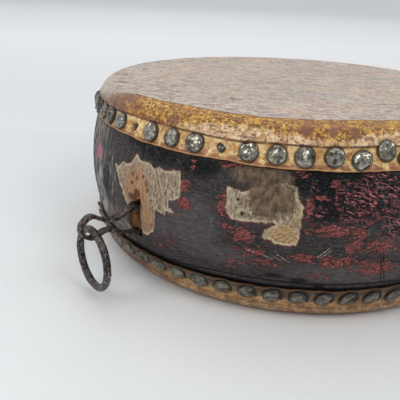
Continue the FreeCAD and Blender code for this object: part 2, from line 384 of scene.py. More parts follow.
# The field that each list of soft spots fills, for the lacquer's colours.
SPOT_FIELDS = {
    "red": RED_WEAR, "crazed": CRAZED, "black": BLACKEST, "pink": PINK, "rubbed": RUBBED,
    "drips": DRIPS, "dulled_and_sheen": DULLED_AND_SHEEN, "ochre": OCHRE, "brown": WOOD_STAIN, "shade": SHADE,
    "pale": PALE,
}
# Worm holes and nicks: (degrees, height, radius, depth).
PITS = [
    (2.6, 62.5, 0.8, 1.4), (4.3, 56.3, 0.9, 1.6), (0.3, 60.2, 0.7, 0.9), (-1.6, 57.0, 0.9, 0.8),
    (5.6, 52.0, 0.5, 0.8), (27.3, 64.0, 0.8, 0.5), (28.4, 57.6, 1.0, 0.5),
    (-15.5, 54, 0.7, 1.0), (-13.6, 46, 0.5, 0.9),
]
# Scratches: from (degrees, height) to (degrees, height).
SCRATCHES = [
    ((44.8, 40.0), (47.0, 45.0)), ((45.4, 39.4), (47.2, 43.4)), ((33.2, 38.2), (35.6, 36.3)),
    ((35.4, 38.0), (37.2, 36.2)), ((36.4, 39.0), (38.0, 37.0)), ((37.6, 37.2), (39.2, 35.4)),
    ((30.2, 39.6), (31.8, 38.7)), ((118, 52), (121, 47)), ((200, 40), (204, 43)),
]
# Stretches where a joint between staves has opened: joint number, from height, to height, depth.
OPEN_JOINTS = [(0, 70, 81.5, 1.1), (6, 60, 80, 0.6), (9, 24, 50, 0.8),
               (13, 45, 78, 0.7), (16, 22, 40, 0.7)]
# Splits in the lacquer: from (degrees, height) to (degrees, height).
SPLITS = [((58.1, 41.5), (60.1, 25.0)), ((58.8, 40.5), (60.8, 25.5)), ((-40, 70), (-39, 40)),
          ((172, 75), (173, 50)), ((132, 44), (133, 26))]
# A groove scored round the drum above the lower head: (degrees, height).
LOW_LINE = [
    (-180, 22.5), (-20, 20.0), (5, 19.6), (14, 20.6), (24, 23.2), (60, 23.4), (120, 22), (180, 22.5),
]
LOW_LINE_DEPTH = 0.3
JOINT_WIDTH = 0.34
SPLIT_DEPTH = 0.5
PATCH_STEP = 0.5
WOOD_STEP = 1.0
SPLINTER_STEP = 1.6
SLOT_DEPTH = 8.0
FINE_STEP = 0.5
FINE_PAST_HIDE = 3  # the fine outer face goes this far under the hides
EDGE_STEPS = (0.0, 0.16, 0.36, 0.64)


def to_segment(deg, z, start, end):
    """Distance in mm to a straight stretch between two places."""
    x = turned(deg - start[0]) * ARC
    ex = (end[0] - start[0]) * ARC
    y = z - start[1]
    ey = end[1] - start[1]
    t = np.clip((x * ex + y * ey) / (ex * ex + ey * ey), 0, 1)
    return np.hypot(x - t * ex, y - t * ey)


def shell_skin(deg, z, slotted):
    """Relief in mm and the fields that the lacquer's colours follow."""
    flat = np.stack([deg * ARC, z, np.zeros(len(z))], -1)
    ragged = layers(flat, 2.4, 11, 3)
    upright = layers(flat, (1.5, 13, 1), 12, 3)
    torn_away = 1.9 * layers(flat, 7.5, 17, 3)
    clear = np.max([within(deg, z, outline) for outline in CLEAR_PATCHES], 0)
    bare = np.max([clear] + [within(deg, z, outline) + torn_away for outline in RAGGED_PATCHES], 0)
    bare += 0.55 * ragged
    wood = np.clip(spots(deg, z, ORANGE_WOOD) + 0.25 * upright, 0, 1)
    grey = np.clip(spots(deg, z, BARE_GREY) + 0.3 * upright, 0, 1)

    lacquer = 0.2 * noise(flat, 17, 13) + 0.05 * layers(flat, 3.2, 14) + 0.2 * grey * upright
    worn = smooth(bare, -0.3, 0.35)
    wood_height = -WOOD_STEP + 0.3 * upright + 0.15 * ragged
    gesso_height = -PATCH_STEP + 0.13 * layers(flat, (1.3, 2.4, 1), 15)
    patch = gesso_height + (wood_height - gesso_height) * smooth(wood, 0.3, 0.8)
    lip = 0.12 * np.exp(-(((bare + 0.7) / 0.5) ** 2))
    relief = (lacquer + lip) * (1 - worn) + patch * worn

    pits = np.zeros(len(z))
    for at, height, radius, depth in PITS:
        away = np.hypot(turned(deg - at) * ARC, (z - height) * 0.6)
        hollow = 1 - smooth(away + 0.25 * ragged, radius * 0.3, radius)
        pits = np.maximum(pits, hollow)
        relief -= depth * hollow

    joint = np.zeros(len(z))
    for number, start, end, depth in OPEN_JOINTS:
        at = FIRST_JOINT + number * STAVE_ANGLE
        away = np.abs(turned(deg - at)) * ARC + 0.1 * np.abs(ragged)
        stretch = smooth(z, start, start + 4) * (1 - smooth(z, end - 4, end + 0.1))
        groove = np.exp(-((away / JOINT_WIDTH) ** 2)) * stretch
        joint = np.maximum(joint, groove)
        relief -= depth * groove

    for start, end in SPLITS:
        groove = np.exp(-(((to_segment(deg, z, start, end) + 0.15 * np.abs(ragged)) / JOINT_WIDTH) ** 2))
        joint = np.maximum(joint, groove)
        relief -= SPLIT_DEPTH * groove
    low_line = z - listed(LOW_LINE, deg) - 0.4 * noise(flat, (16, 400, 1), 16)
    relief -= LOW_LINE_DEPTH * np.exp(-((low_line / 0.45) ** 2))

    slot = np.zeros(len(z))
    splinters = np.zeros(len(z))
    if slotted:
        edge = 0.35 * ragged
        deep = np.maximum(within(deg, z, UPPER_HOLE), within(deg, z, LOWER_SLOT)) + edge
        slot = smooth(deep, -0.2, 0.5)
        splinters = smooth(within(deg, z, SPLINTERS) + edge, -0.3, 0.6)
        relief -= splinters * (SPLINTER_STEP + 0.7 * upright) * (1 - slot)
        relief -= slot * SLOT_DEPTH
    below = UPPER_EDGE + listed(UPPER_WANDER, deg) - z
    above = z - LOWER_EDGE - listed(LOWER_WANDER, deg)
    relief *= smooth(below, -1.5, -0.3) * smooth(above, -1.5, -0.3)

    fields = {name: spots(deg, z, places) for name, places in SPOT_FIELDS.items()}
    fields |= {
        "place": flat * MM,
        "bare": bare,
        "wood": np.maximum(wood, splinters),
        "grey": grey,
        "stain": np.clip(spots(deg, z, OILY_STAIN), 0, 1.2),
        "pits": pits,
        "joint": joint,
        "slot": slot,
        "splinters": splinters,
        "scratch": np.min([to_segment(deg, z, *ends) for ends in SCRATCHES], 0),
        "below": below,
        "above": above,
        "low_line": low_line,
    }
    return relief, fields


def stave(number):
    """One closed stave: a finely modelled outer face, plain sides, ends and inner face."""
    first = FIRST_JOINT + (number - 2) * STAVE_ANGLE
    if number >= SEAM_STAVE:
        first -= 360
    width = STAVE_ANGLE * ARC
    middle = np.linspace(1, width - 1, round((width - 2) / FINE_STEP) + 1)
    edge = np.array(EDGE_STEPS)
    across = np.concatenate([edge, middle, (width - edge)[::-1]]) / ARC + first
    bottom, top = HIDE, HEIGHT - HIDE
    fine_low, fine_high = LOWER_EDGE - FINE_PAST_HIDE, UPPER_EDGE + FINE_PAST_HIDE
    fine = np.linspace(fine_low, fine_high, round((fine_high - fine_low) / FINE_STEP) + 1)
    hidden_low = np.linspace(bottom, fine_low, 6)[:-1]
    hidden_high = np.linspace(fine_high, top, 8)[1:]
    up = np.concatenate([hidden_low, fine, hidden_high])
    deg, z = np.meshgrid(across, up)
    relief, fields = shell_skin(deg.ravel(), z.ravel(), number == 1)
    reach = barrel(z, BELLY)
    corner_r, corner_z = shoulder_centre()
    rounding = SHOULDER - HIDE
    past = np.clip(np.abs(z - MIDDLE) + MIDDLE - corner_z, 0, rounding)
    rounded = corner_r + np.sqrt(rounding**2 - past**2)
    reach = np.where(past > 0, np.minimum(reach, rounded), reach)
    outer = round_the_axis(deg, reach + relief.reshape(z.shape), z).reshape(-1, 3)

    inner_across = np.linspace(across[0], across[-1], 7)
    inner_deg, inner_z = np.meshgrid(inner_across, np.linspace(bottom, top, 9))
    inner = round_the_axis(inner_deg, barrel(inner_z, BELLY - WALL), inner_z).reshape(-1, 3)
    index = np.arange(z.size).reshape(z.shape)
    inner_index = z.size + np.arange(inner_z.size).reshape(inner_z.shape)
    faces = [
        grid_faces(index),
        grid_faces(inner_index)[:, ::-1],
        zip_rows(inner_index[0], index[0]),
        zip_rows(index[-1], inner_index[-1]),
        zip_rows(index[:, 0], inner_index[:, 0]),
        zip_rows(inner_index[:, -1], index[:, -1]),
    ]
    for name, values in fields.items():
        shape = (len(inner),) + values.shape[1:]
        fields[name] = np.concatenate([values, np.zeros(shape)])
    # The inner face is bare wood, and no scratch is near it.
    fields["bare"][z.size:] = 1
    fields["wood"][z.size:] = 0.7
    fields["scratch"][z.size:] = 9
    fields["place"][z.size:] = inner * MM
    name = f"stave_{number:02d}"
    piece = make_piece(name + "_lacquered", np.concatenate([outer, inner]), faces, fields)
    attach(piece, "drum")
    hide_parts(name)
    return piece


# ---------------------------------------------------------------- nails


def upper_nail_place(k):
    """Angle and height of one place in the upper row."""
    aside, above = STRAY_NAILS.get(k, (0, 0))
    wander = 1.15 * math.cos(math.radians(360 * 4 * (k - 6) / NAILS))
    return NAIL_STEP * k - 1.2 + wander + aside, UPPER_NAIL_Z + above


def lower_nail_place(k):
    """Angle and height of one place in the lower row."""
    wander = 0.5 * math.cos(math.radians(360 * 3 * (k - 7) / NAILS))
    return NAIL_STEP * k + 1.5 + wander, LOWER_NAIL_Z


UPPER_PLACES = [upper_nail_place(k) for k in range(NAILS) if k not in (MISSING_NAIL, TACK_PLACE)]
LOWER_PLACES = [lower_nail_place(k) for k in range(NAILS)]


def standing_on_hide(deg, z, tilt_up, tilt_side, sink):
    """The matrix that stands a nail on the hide: its z axis leaves the drum, its y axis points up."""
    angle = math.radians(deg)
    lean = math.asin((z - MIDDLE) / (BELLY + HIDE))
    level = math.cos(lean)
    out = Vector((math.sin(angle) * level, -math.cos(angle) * level, math.sin(lean)))
    side = Vector((math.cos(angle), math.sin(angle), 0))
    up = out.cross(side)
    r = float(barrel(z, BELLY + HIDE)) - sink
    place = Vector((r * math.sin(angle), -r * math.cos(angle), z))
    turn = Matrix((side, up, out)).transposed()
    about_side = Matrix.Rotation(math.radians(tilt_up), 3, "X")
    tilt = about_side @ Matrix.Rotation(math.radians(tilt_side), 3, "Y")
    return np.array(turn @ tilt), np.array(place)


# Soft spots where the nails have gone brown.
AGED_NAILS = [(-22, 87, 20, 40, 1.0), (180, 50, 30, 60, 0.8)]
NAIL_ROUND = 40
NAIL_RINGS = 13
NAIL_TAPER = 2.5
NAIL_POINT = 0.15
NAIL_UNDERSIDE = -0.5


def square(half, z):
    """The four corners of a level square."""
    return np.array([[half, half, z], [-half, half, z], [-half, -half, z], [half, -half, z]])


def ring_closed(index):
    """Rows of point numbers, each with its first repeated at the end."""
    return np.concatenate([index, index[:, :1]], 1)


def hammered_nail(rng, head, rise, cuts, dents):
    """Points and faces of one nail: a domed head with hammer facets, and a square tapered shank."""
    around = np.linspace(0, 2 * math.pi, NAIL_ROUND, endpoint=False)
    wave = rng.uniform(0, 2 * math.pi, 3)
    outline = 1 + 0.035 * np.cos(2 * around + wave[0]) + 0.03 * np.cos(3 * around + wave[1])
    outline += 0.02 * np.cos(7 * around + wave[2])
    points = [[[0, 0, rise]]]
    for ring in range(1, NAIL_RINGS + 1):
        t = ring / NAIL_RINGS
        spread = math.sin(t * math.pi / 2)
        r = head / 2 * spread * (1 + (outline - 1) * t)
        height = rise * (math.cos(t * math.pi / 2) ** 0.8 * 0.93 + 0.07)
        points.append(np.stack([r * np.cos(around), r * np.sin(around), np.full(NAIL_ROUND, height)], -1))
    points = np.concatenate(points)
    for _ in range(cuts):
        tilt, side = math.radians(rng.uniform(4, 62)), rng.uniform(0, 2 * math.pi)
        slope = math.sin(tilt)
        facing = np.array([slope * math.cos(side), slope * math.sin(side), math.cos(tilt)])
        reach = points @ facing
        over = np.maximum(reach - (reach.max() - rng.uniform(0.12, 0.75)), 0)
        points -= over[:, None] * facing
    shift = rng.uniform(0, 900, 3)
    wrinkles = layers(points + shift, (2.0, 3.6, 3), 31, 2)
    points[:, 2] += dents * smooth(points[:, 2], 0.1, 0.8) * wrinkles
    last = points[-NAIL_ROUND:].copy()
    last[:, 2] = NAIL_UNDERSIDE
    half = NAIL_SHANK / 2
    neck = [
        square(half, NAIL_UNDERSIDE),
        square(half * 0.8, -NAIL_LENGTH + NAIL_TAPER),
        square(NAIL_POINT, -NAIL_LENGTH),
    ]
    rim = np.hypot(points[:, 0], points[:, 1]) / (head / 2)
    # Painted shade round the rim of the head, and darker in the hollows between the hammer wrinkles.
    dark = smooth(rim, 0.7, 1.0) + smooth(-wrinkles, 0.2, 1.1)
    dark = np.concatenate([dark, np.ones(len(last) + 12)])
    points = np.concatenate([points, last] + neck)
    index = 1 + np.arange(NAIL_ROUND * (NAIL_RINGS + 1)).reshape(-1, NAIL_ROUND)
    closed = ring_closed(index)
    cap = np.stack([np.zeros(NAIL_ROUND, int), closed[0, :-1], closed[0, 1:]], -1)
    neck_index = 1 + index.size + np.arange(12).reshape(3, 4)
    neck_closed = ring_closed(neck_index)
    tip = neck_index[2][::-1].reshape(1, 4)
    quads = [grid_faces(closed)[:, ::-1], grid_faces(neck_closed)[:, ::-1], tip]
    start = np.argmin(np.abs(np.angle(np.exp(1j * (around - math.pi / 4)))))
    outer = np.roll(index[-1], -start)
    under_faces = zip_rows(np.append(outer, outer[0]), neck_closed[0])
    return points, quads, [cap, under_faces], dark


def nail_row(name, node, places, head, rise, cuts, dents, seed, tilt, sink):
    """One row of nails as a single piece, each nail different."""
    rng = np.random.default_rng(seed)
    points, quads, tris, tone, dark = [], [], [], [], []
    count = 0
    for deg, z in places:
        wide, tall = head * rng.uniform(0.97, 1.03), rise * rng.uniform(0.85, 1.0)
        nail, nail_quads, nail_tris, nail_dark = hammered_nail(rng, wide, tall, cuts, dents)
        lean_up, lean_side = rng.normal(tilt[0], 2.5), rng.normal(tilt[1], 2.5)
        turn, place = standing_on_hide(deg, z, lean_up, lean_side, sink)
        spin = rng.uniform(0, 2 * math.pi)
        c, s = math.cos(spin), math.sin(spin)
        nail = nail @ np.array([[c, s, 0], [-s, c, 0], [0, 0, 1]])
        points.append(nail @ turn.T + place)
        quads += [q + count for q in nail_quads]
        tris += [t + count for t in nail_tris]
        aged = 1.5 * float(spots(np.array([deg]), np.array([z]), AGED_NAILS)[0])
        tone.append(np.full(len(nail), rng.uniform(0, 1) + aged))
        dark.append(nail_dark)
        count += len(nail)
    fields = {"tone": np.concatenate(tone), "dark": np.concatenate(dark)}
    piece = make_piece(name, np.concatenate(points), quads + tris, fields, 20)
    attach(piece, "drum")
    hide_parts(node)
    return piece


# ---------------------------------------------------------------- hides

HIDE_ROUND = 1024
INSIDE_ROUND = 128
LOW_RIDGE_Z = 92.0  # the lower head is worked out as an upper one, then turned over
SKIRT_STEP = 0.5
DISC_STEP = 1.25
RIDGE_RISE = 1.0
TORN_DEPTH = 1.7
NAIL_DIP = 0.3

# Soft brown spots on the upper head's shoulder and skirt.
BLOTS = [
    (39.7, 97.9, 1.7, 2.4, 1.1), (45.3, 97.7, 1.4, 2.5, 1.1), (49.8, 97.3, 1.5, 2.6, 1.15),
    (36.7, 97.8, 1.0, 1.8, 0.85), (33.5, 98.3, 1.1, 1.6, 0.9), (30.8, 98.6, 1.0, 1.3, 0.9),
    (53, 95.8, 1.0, 1.5, 0.8), (74, 96, 2, 3, 1), (140, 95, 2, 3, 1), (-110, 96, 3, 3, 1),
    (-60, 94, 2, 3, 0.9), (52, 95.5, 0.9, 1.2, 0.8), (9.6, 94.6, 2.0, 3.2, 1.1),
    (10.4, 90.5, 1.2, 2, 0.8), (19.5, 95.6, 1.4, 0.7, 1.1), (3, 95, 2.5, 2, 0.6),
    (27, 93, 3, 0.8, 0.9), (22.4, 93.6, 2.4, 0.5, 1.2), (29, 94.4, 0.9, 0.9, 0.9),
    (-13, 94, 7, 7, 0.75), (-4, 96, 4, 4, 0.7), (2, 93, 5, 1.6, 0.7), (-9, 92, 6, 5, 0.75),
    (4, 98, 3, 2, 0.55), (-9, 98, 6, 3, 0.75), (16, 97, 2.5, 1.5, 0.5),
]
# Scars and clouds on the flat skin: from (x, y) to (x, y), half width.
SCARS = [((17.0, -78.8), (22.6, -76.4), 1), ((-56.3, -99.4), (-51.0, -99.0), 1)]
COOL = [
    ((20, -36), (30, -32), 7), ((-14, -33), (-6, -30), 6), ((45, -27), (52, -20), 7),
    ((-30, 30), (-22, 38), 9), ((10, 60), (30, 66), 9),
]
WARM = [
    ((18, 78), (28, 86), 11), ((64, -46), (74, -38), 9), ((52, -78), (66, -68), 9),
    ((-86, 52), (-76, 58), 10), ((-70, -60), (-60, -52), 8), ((80, 20), (90, 34), 10),
]
# Soft spots where the skirts have gone grey, both as heights on an upper head.
AGED_LOWER = [(-14, 86, 20, 30, 1.3), (180, 86, 40, 30, 0.6)]
AGED_UPPER = [(-30, 92, 20, 30, 1.4), (175, 92, 40, 30, 0.7), (260, 94, 14, 20, 0.6)]


def hide_profile():
    """The hide's outer line from the centre to the cut edge: (reach, height, normal, way past crease)."""
    centre_r, centre_z = shoulder_centre()
    lean = math.atan2(centre_z - MIDDLE, centre_r - CENTRE)
    rows = []
    r = centre_r
    while r > 4:
        rows.append((r, HEIGHT, 0.0, 1.0, r - centre_r))
        r -= DISC_STEP
    rows = rows[::-1]
    steps = round(SHOULDER * (math.pi / 2 - lean) / SKIRT_STEP)
    for i in range(1, steps + 1):
        a = math.pi / 2 - (math.pi / 2 - lean) * i / steps
        nr, nz = math.cos(a), math.sin(a)
        past = SHOULDER * (math.pi / 2 - a)
        rows.append((centre_r + SHOULDER * nr, centre_z + SHOULDER * nz, nr, nz, past))
    z = rows[-1][1]
    count = round((z - UPPER_EDGE) / SKIRT_STEP)
    for i in range(1, count + 1):
        height = z + (UPPER_EDGE - z) * i / count
        nz = (height - MIDDLE) / (BELLY + HIDE)
        reach = float(barrel(height, BELLY + HIDE))
        rows.append((reach, height, math.sqrt(1 - nz * nz), nz, past + z - height))
    return np.array(rows)


def to_line(points, start, end):
    """Distance seen from above to a straight stretch between two places (x, y)."""
    start, end = np.array(start, float), np.array(end, float)
    along_line = end - start
    t = np.clip((points[:, :2] - start) @ along_line / (along_line @ along_line), 0, 1)
    return np.hypot(*(points[:, :2] - start - t[:, None] * along_line).T)


def marks(points, lines, frayed=0.0):
    """The strongest of soft stretches (start, end, half width) seen from above."""
    away = [(to_line(points, start, end) + frayed) / wide for start, end, wide in lines]
    return np.exp(-(np.min(away, 0) ** 2))


def nearest_nail(deg, z, places):
    """Distance to the nearest nail's middle, and the place along and up from it."""
    best = np.full(len(deg), 1e9)
    beside = np.zeros(len(deg))
    above = np.zeros(len(deg))
    for at, height in places:
        x = turned(deg - at) * ARC
        y = z - height
        away = np.hypot(x, y)
        closer = away < best
        best[closer], beside[closer], above[closer] = away[closer], x[closer], y[closer]
    return best, beside, above


def hide_ring(upper, row, deg, places):
    """One ring of the hide's outer face at those angles, and the fields its colours follow."""
    r, z, nr, nz, past = row
    seed = 40 if upper else 60
    n = len(deg)
    z, past = np.full(n, z), np.full(n, past)
    solid = round_the_axis(deg, r, z)
    away, beside, above = nearest_nail(deg, z, places)
    on_skirt = smooth(past, 6, 11)
    flat = 1 - smooth(past, -3, 3)
    bumps = 0.22 * noise(solid, (45, 45, 20), seed) + 0.07 * layers(solid, 7, seed + 1, 2)
    relief = bumps * flat + 0.03 * layers(solid, 1.7, seed + 2, 2)
    relief += 0.06 * layers(solid, (9, 9, 2.5), seed + 3, 2) * (1 - flat)
    start = past - listed(AMBER_START, deg)
    if upper:
        relief += 0.14 * np.exp(-(((start + 0.7) / 0.7) ** 2))
        relief -= 0.35 * smooth(start, 0, 9) * smooth(past, 8, -2)
    from_head = away - UPPER_NAIL_HEAD / 2
    relief -= NAIL_DIP * np.exp(-((from_head / 0.9) ** 2)) * on_skirt
    line = listed(RIDGE_HEIGHT, deg) if upper else LOW_RIDGE_Z
    line = line + 0.35 * noise(solid, (18, 18, 400), seed + 4)
    ridge = smooth(z, line - 0.2, line + 0.5) * np.exp(-np.maximum(z - line, 0) / 3.5)
    relief += RIDGE_RISE * ridge * on_skirt
    torn = np.zeros(n)
    if upper:
        at, height = upper_nail_place(MISSING_NAIL)
        middle = np.hypot(turned(deg - at) * ARC, z - height)
        middle += 0.3 * layers(solid, 1.4, seed + 5, 2)
        torn = 1 - smooth(middle, TORN_HOLE / 2 - 0.5, TORN_HOLE / 2 + 0.3)
        relief -= TORN_DEPTH * torn
        relief += 0.3 * np.exp(-(((middle - TORN_HOLE / 2 - 0.7) / 0.5) ** 2))
    elif nz > 0.97:
        # The drum stands on this part, so nothing may stand out of it.
        relief = -np.abs(relief) * smooth(past, -60, 0)
    ragged = 0.55 * noise(solid, (9, 9, 400), seed + 6) + 0.3 * noise(solid, (2.5, 2.5, 400), seed + 7)
    low_part = 1 - smooth(z, UPPER_EDGE, UPPER_EDGE + 5)
    curl = 0.25 * low_part * (0.5 + noise(solid, (6, 6, 400), seed + 8))
    wander = listed(UPPER_WANDER, deg) if upper else -listed(LOWER_WANDER, deg)
    height = z + (0.5 * ragged + wander) * low_part
    ring = round_the_axis(deg, r + nr * (relief + curl), height + nz * relief)
    return ring, {
        "past": past,
        "nail": from_head,
        "torn": torn,
        "ridge": z - line,
        "edge": z - UPPER_EDGE,
        "behind": beside + (above if upper else -above),
        "start": start,
        "tan": past - (listed(TAN_START, deg) if upper else LOW_TAN_START),
        "line": height - UPPER_EDGE - wander,
        "scar": marks(solid, SCARS, 0.7 * np.abs(noise(solid, 1.6, seed + 9))),
        "cool": marks(solid, COOL),
        "warm": marks(solid, WARM),
        "blots": spots(deg, z, BLOTS),
        "age": spots(deg, z, AGED_UPPER if upper else AGED_LOWER),
    }


def hide(upper):
    """A stretched rawhide head: flat skin, rounded shoulder, nailed skirt with a cut edge."""
    profile = hide_profile()
    places = UPPER_PLACES if upper else [(d, HEIGHT - z) for d, z in LOWER_PLACES]
    deg_full = np.arange(HIDE_ROUND) * 360 / HIDE_ROUND
    points, rings, fields = [], [], {}
    count = 0
    for row in profile:
        # Rings near the middle have fewer points, so that the faces stay about square.
        columns = HIDE_ROUND
        while columns > 2 * math.pi * row[0] / DISC_STEP * 1.6 and columns > 16:
            columns //= 2
        deg = deg_full[:: HIDE_ROUND // columns]
        ring, values = hide_ring(upper, row, deg, places)
        points.append(ring)
        for name, value in values.items():
            fields.setdefault(name, []).append(value)
        rings.append(np.arange(len(deg)) + count)
        count += len(deg)

    # Round the cut edge and come back up the inside, at a coarser spacing.
    edge_ring = points[-1]
    out = edge_ring[:, :2] / np.hypot(edge_ring[:, 0], edge_ring[:, 1])[:, None]
    for inward, lower in ((0.35, 0.28), (1.0, 0.36), (HIDE - 0.25, 0.1)):
        ring = edge_ring.copy()
        ring[:, :2] -= out * inward
        ring[:, 2] -= lower
        points.append(ring)
        rings.append(np.arange(HIDE_ROUND) + count)
        count += HIDE_ROUND
    inside_deg = deg_full[:: HIDE_ROUND // INSIDE_ROUND]
    for r, z, nr, nz, _past in profile[::6][::-1]:
        if r < 8:
            continue
        inside_z = np.full(INSIDE_ROUND, z - nz * HIDE)
        points.append(round_the_axis(inside_deg, r - nr * HIDE, inside_z))
        rings.append(np.arange(INSIDE_ROUND) + count)
        count += INSIDE_ROUND
    for name in fields:
        known = np.concatenate(fields[name])
        fields[name] = np.concatenate([known, np.full(count + 2 - len(known), known[-1])])
        fields[name][count] = known[0]
    points.append(np.array([[0, 0, HEIGHT], [0, 0, HEIGHT - HIDE]]))
    points = np.concatenate(points)
    tops = [np.append(r, r[0]) for r in rings]
    faces = []
    for a, b in zip(tops, tops[1:]):
        if len(a) == len(b):
            faces.append(grid_faces(np.stack([a, b]))[:, ::-1])
        else:
            faces.append(zip_rows(b, a))
    first, last = tops[0], tops[-1]
    faces.append(np.stack([np.full(len(first) - 1, count), first[:-1], first[1:]], -1))
    faces.append(np.stack([np.full(len(last) - 1, count + 1), last[1:], last[:-1]], -1))
    if not upper:
        points[:, 2] = HEIGHT - points[:, 2]
        faces = [f[:, ::-1] for f in faces]
    name = "upper" if upper else "lower"
    piece = make_piece(name + "_rawhide", points, faces, fields, 60)
    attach(piece, "drum")
    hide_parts(name + "_head")
    return piece


# ---------------------------------------------------------------- forged iron

PIN_VOXEL = 0.3


def forged_pin():
    """The split pin's own shape with hammer marks and scale pressed into it."""
    piece = add_object("split_pin_forged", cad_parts["split_pin"].data.copy())
    remesh = piece.modifiers.new("Remesh", "REMESH")
    remesh.mode = "VOXEL"
    remesh.voxel_size = PIN_VOXEL * MM
    graph = bpy.context.evaluated_depsgraph_get()
    piece.data = bpy.data.meshes.new_from_object(piece.evaluated_get(graph))
    piece.modifiers.clear()
    mesh = piece.data
    mesh.name = "split_pin_forged"
    mesh.materials.clear()
    count = len(mesh.vertices)
    points = np.zeros(count * 3, np.float32)
    normals = np.zeros(count * 3, np.float32)
    mesh.vertices.foreach_get("co", points)
    mesh.vertices.foreach_get("normal", normals)
    points = points.reshape(-1, 3).astype(float) / MM
    normals = normals.reshape(-1, 3)
    dents = -0.3 + 0.14 * layers(points, 4.2, 71, 2) + 0.03 * noise(points, 1.2, 72)
    dents = np.minimum(dents, -0.02)
    points += normals * dents[:, None]
    mesh.vertices.foreach_set("co", (points * MM).astype(np.float32).ravel())
    mesh.polygons.foreach_set("use_smooth", np.ones(len(mesh.polygons), bool))
    mesh.update()
    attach(piece, "drum")
    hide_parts("split_pin")
    return piece


RING_ROUND = 220
RING_SECTION = 28


def forged_ring():
    """The hanging ring: a round bar hammered to shape, with flats, pits and a lapped weld."""
    around = np.linspace(0, 2 * math.pi, RING_ROUND, endpoint=False)
    section = np.linspace(0, 2 * math.pi, RING_SECTION, endpoint=False)
    a, b = np.meshgrid(around, section, indexing="ij")
    a, b = a.ravel(), b.ravel()
    bar = RING_BAR / 2
    out = np.stack([np.sin(a) * np.cos(b), np.sin(b), np.cos(a) * np.cos(b)], -1)
    middle = np.stack([RING_RADIUS * np.sin(a), 0 * a, RING_RADIUS * np.cos(a)], -1)
    place = middle + bar * out
    flats = -0.22 * np.abs(layers(place, (4.5, 3, 4.5), 81, 2)) - 0.07 * np.abs(noise(place, 1.3, 82))
    weld = np.abs(np.angle(np.exp(1j * (a - 2.3 - 0.12 * np.sin(b)))))
    flats -= 0.22 * np.exp(-((weld / 0.03) ** 2))
    place = middle + (bar + flats)[:, None] * out
    turn = math.radians(RING_TURN)
    wide = np.array([math.cos(turn), -math.sin(turn), 0])
    hole = np.array([math.sin(turn), math.cos(turn), 0])
    upright = np.array([0, 0, 1])
    points = place @ np.array([wide, hole, upright]) + np.array(RING_CENTRE)
    index = np.arange(len(points)).reshape(RING_ROUND, RING_SECTION)
    index = ring_closed(np.concatenate([index, index[:1]]))
    piece = make_piece("ring_forged", points, [grid_faces(index)], {}, 60)
    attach(piece, "carrying_ring")
    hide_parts("ring")
    return piece


# ---------------------------------------------------------------- materials


def colour(red, green, blue):
    """A colour given from 0 to 255, as the shader takes it."""
    def linear(value):
        value /= 255
        return value / 12.92 if value <= 0.04045 else ((value + 0.055) / 1.055) ** 2.4
    return (linear(red), linear(green), linear(blue), 1.0)


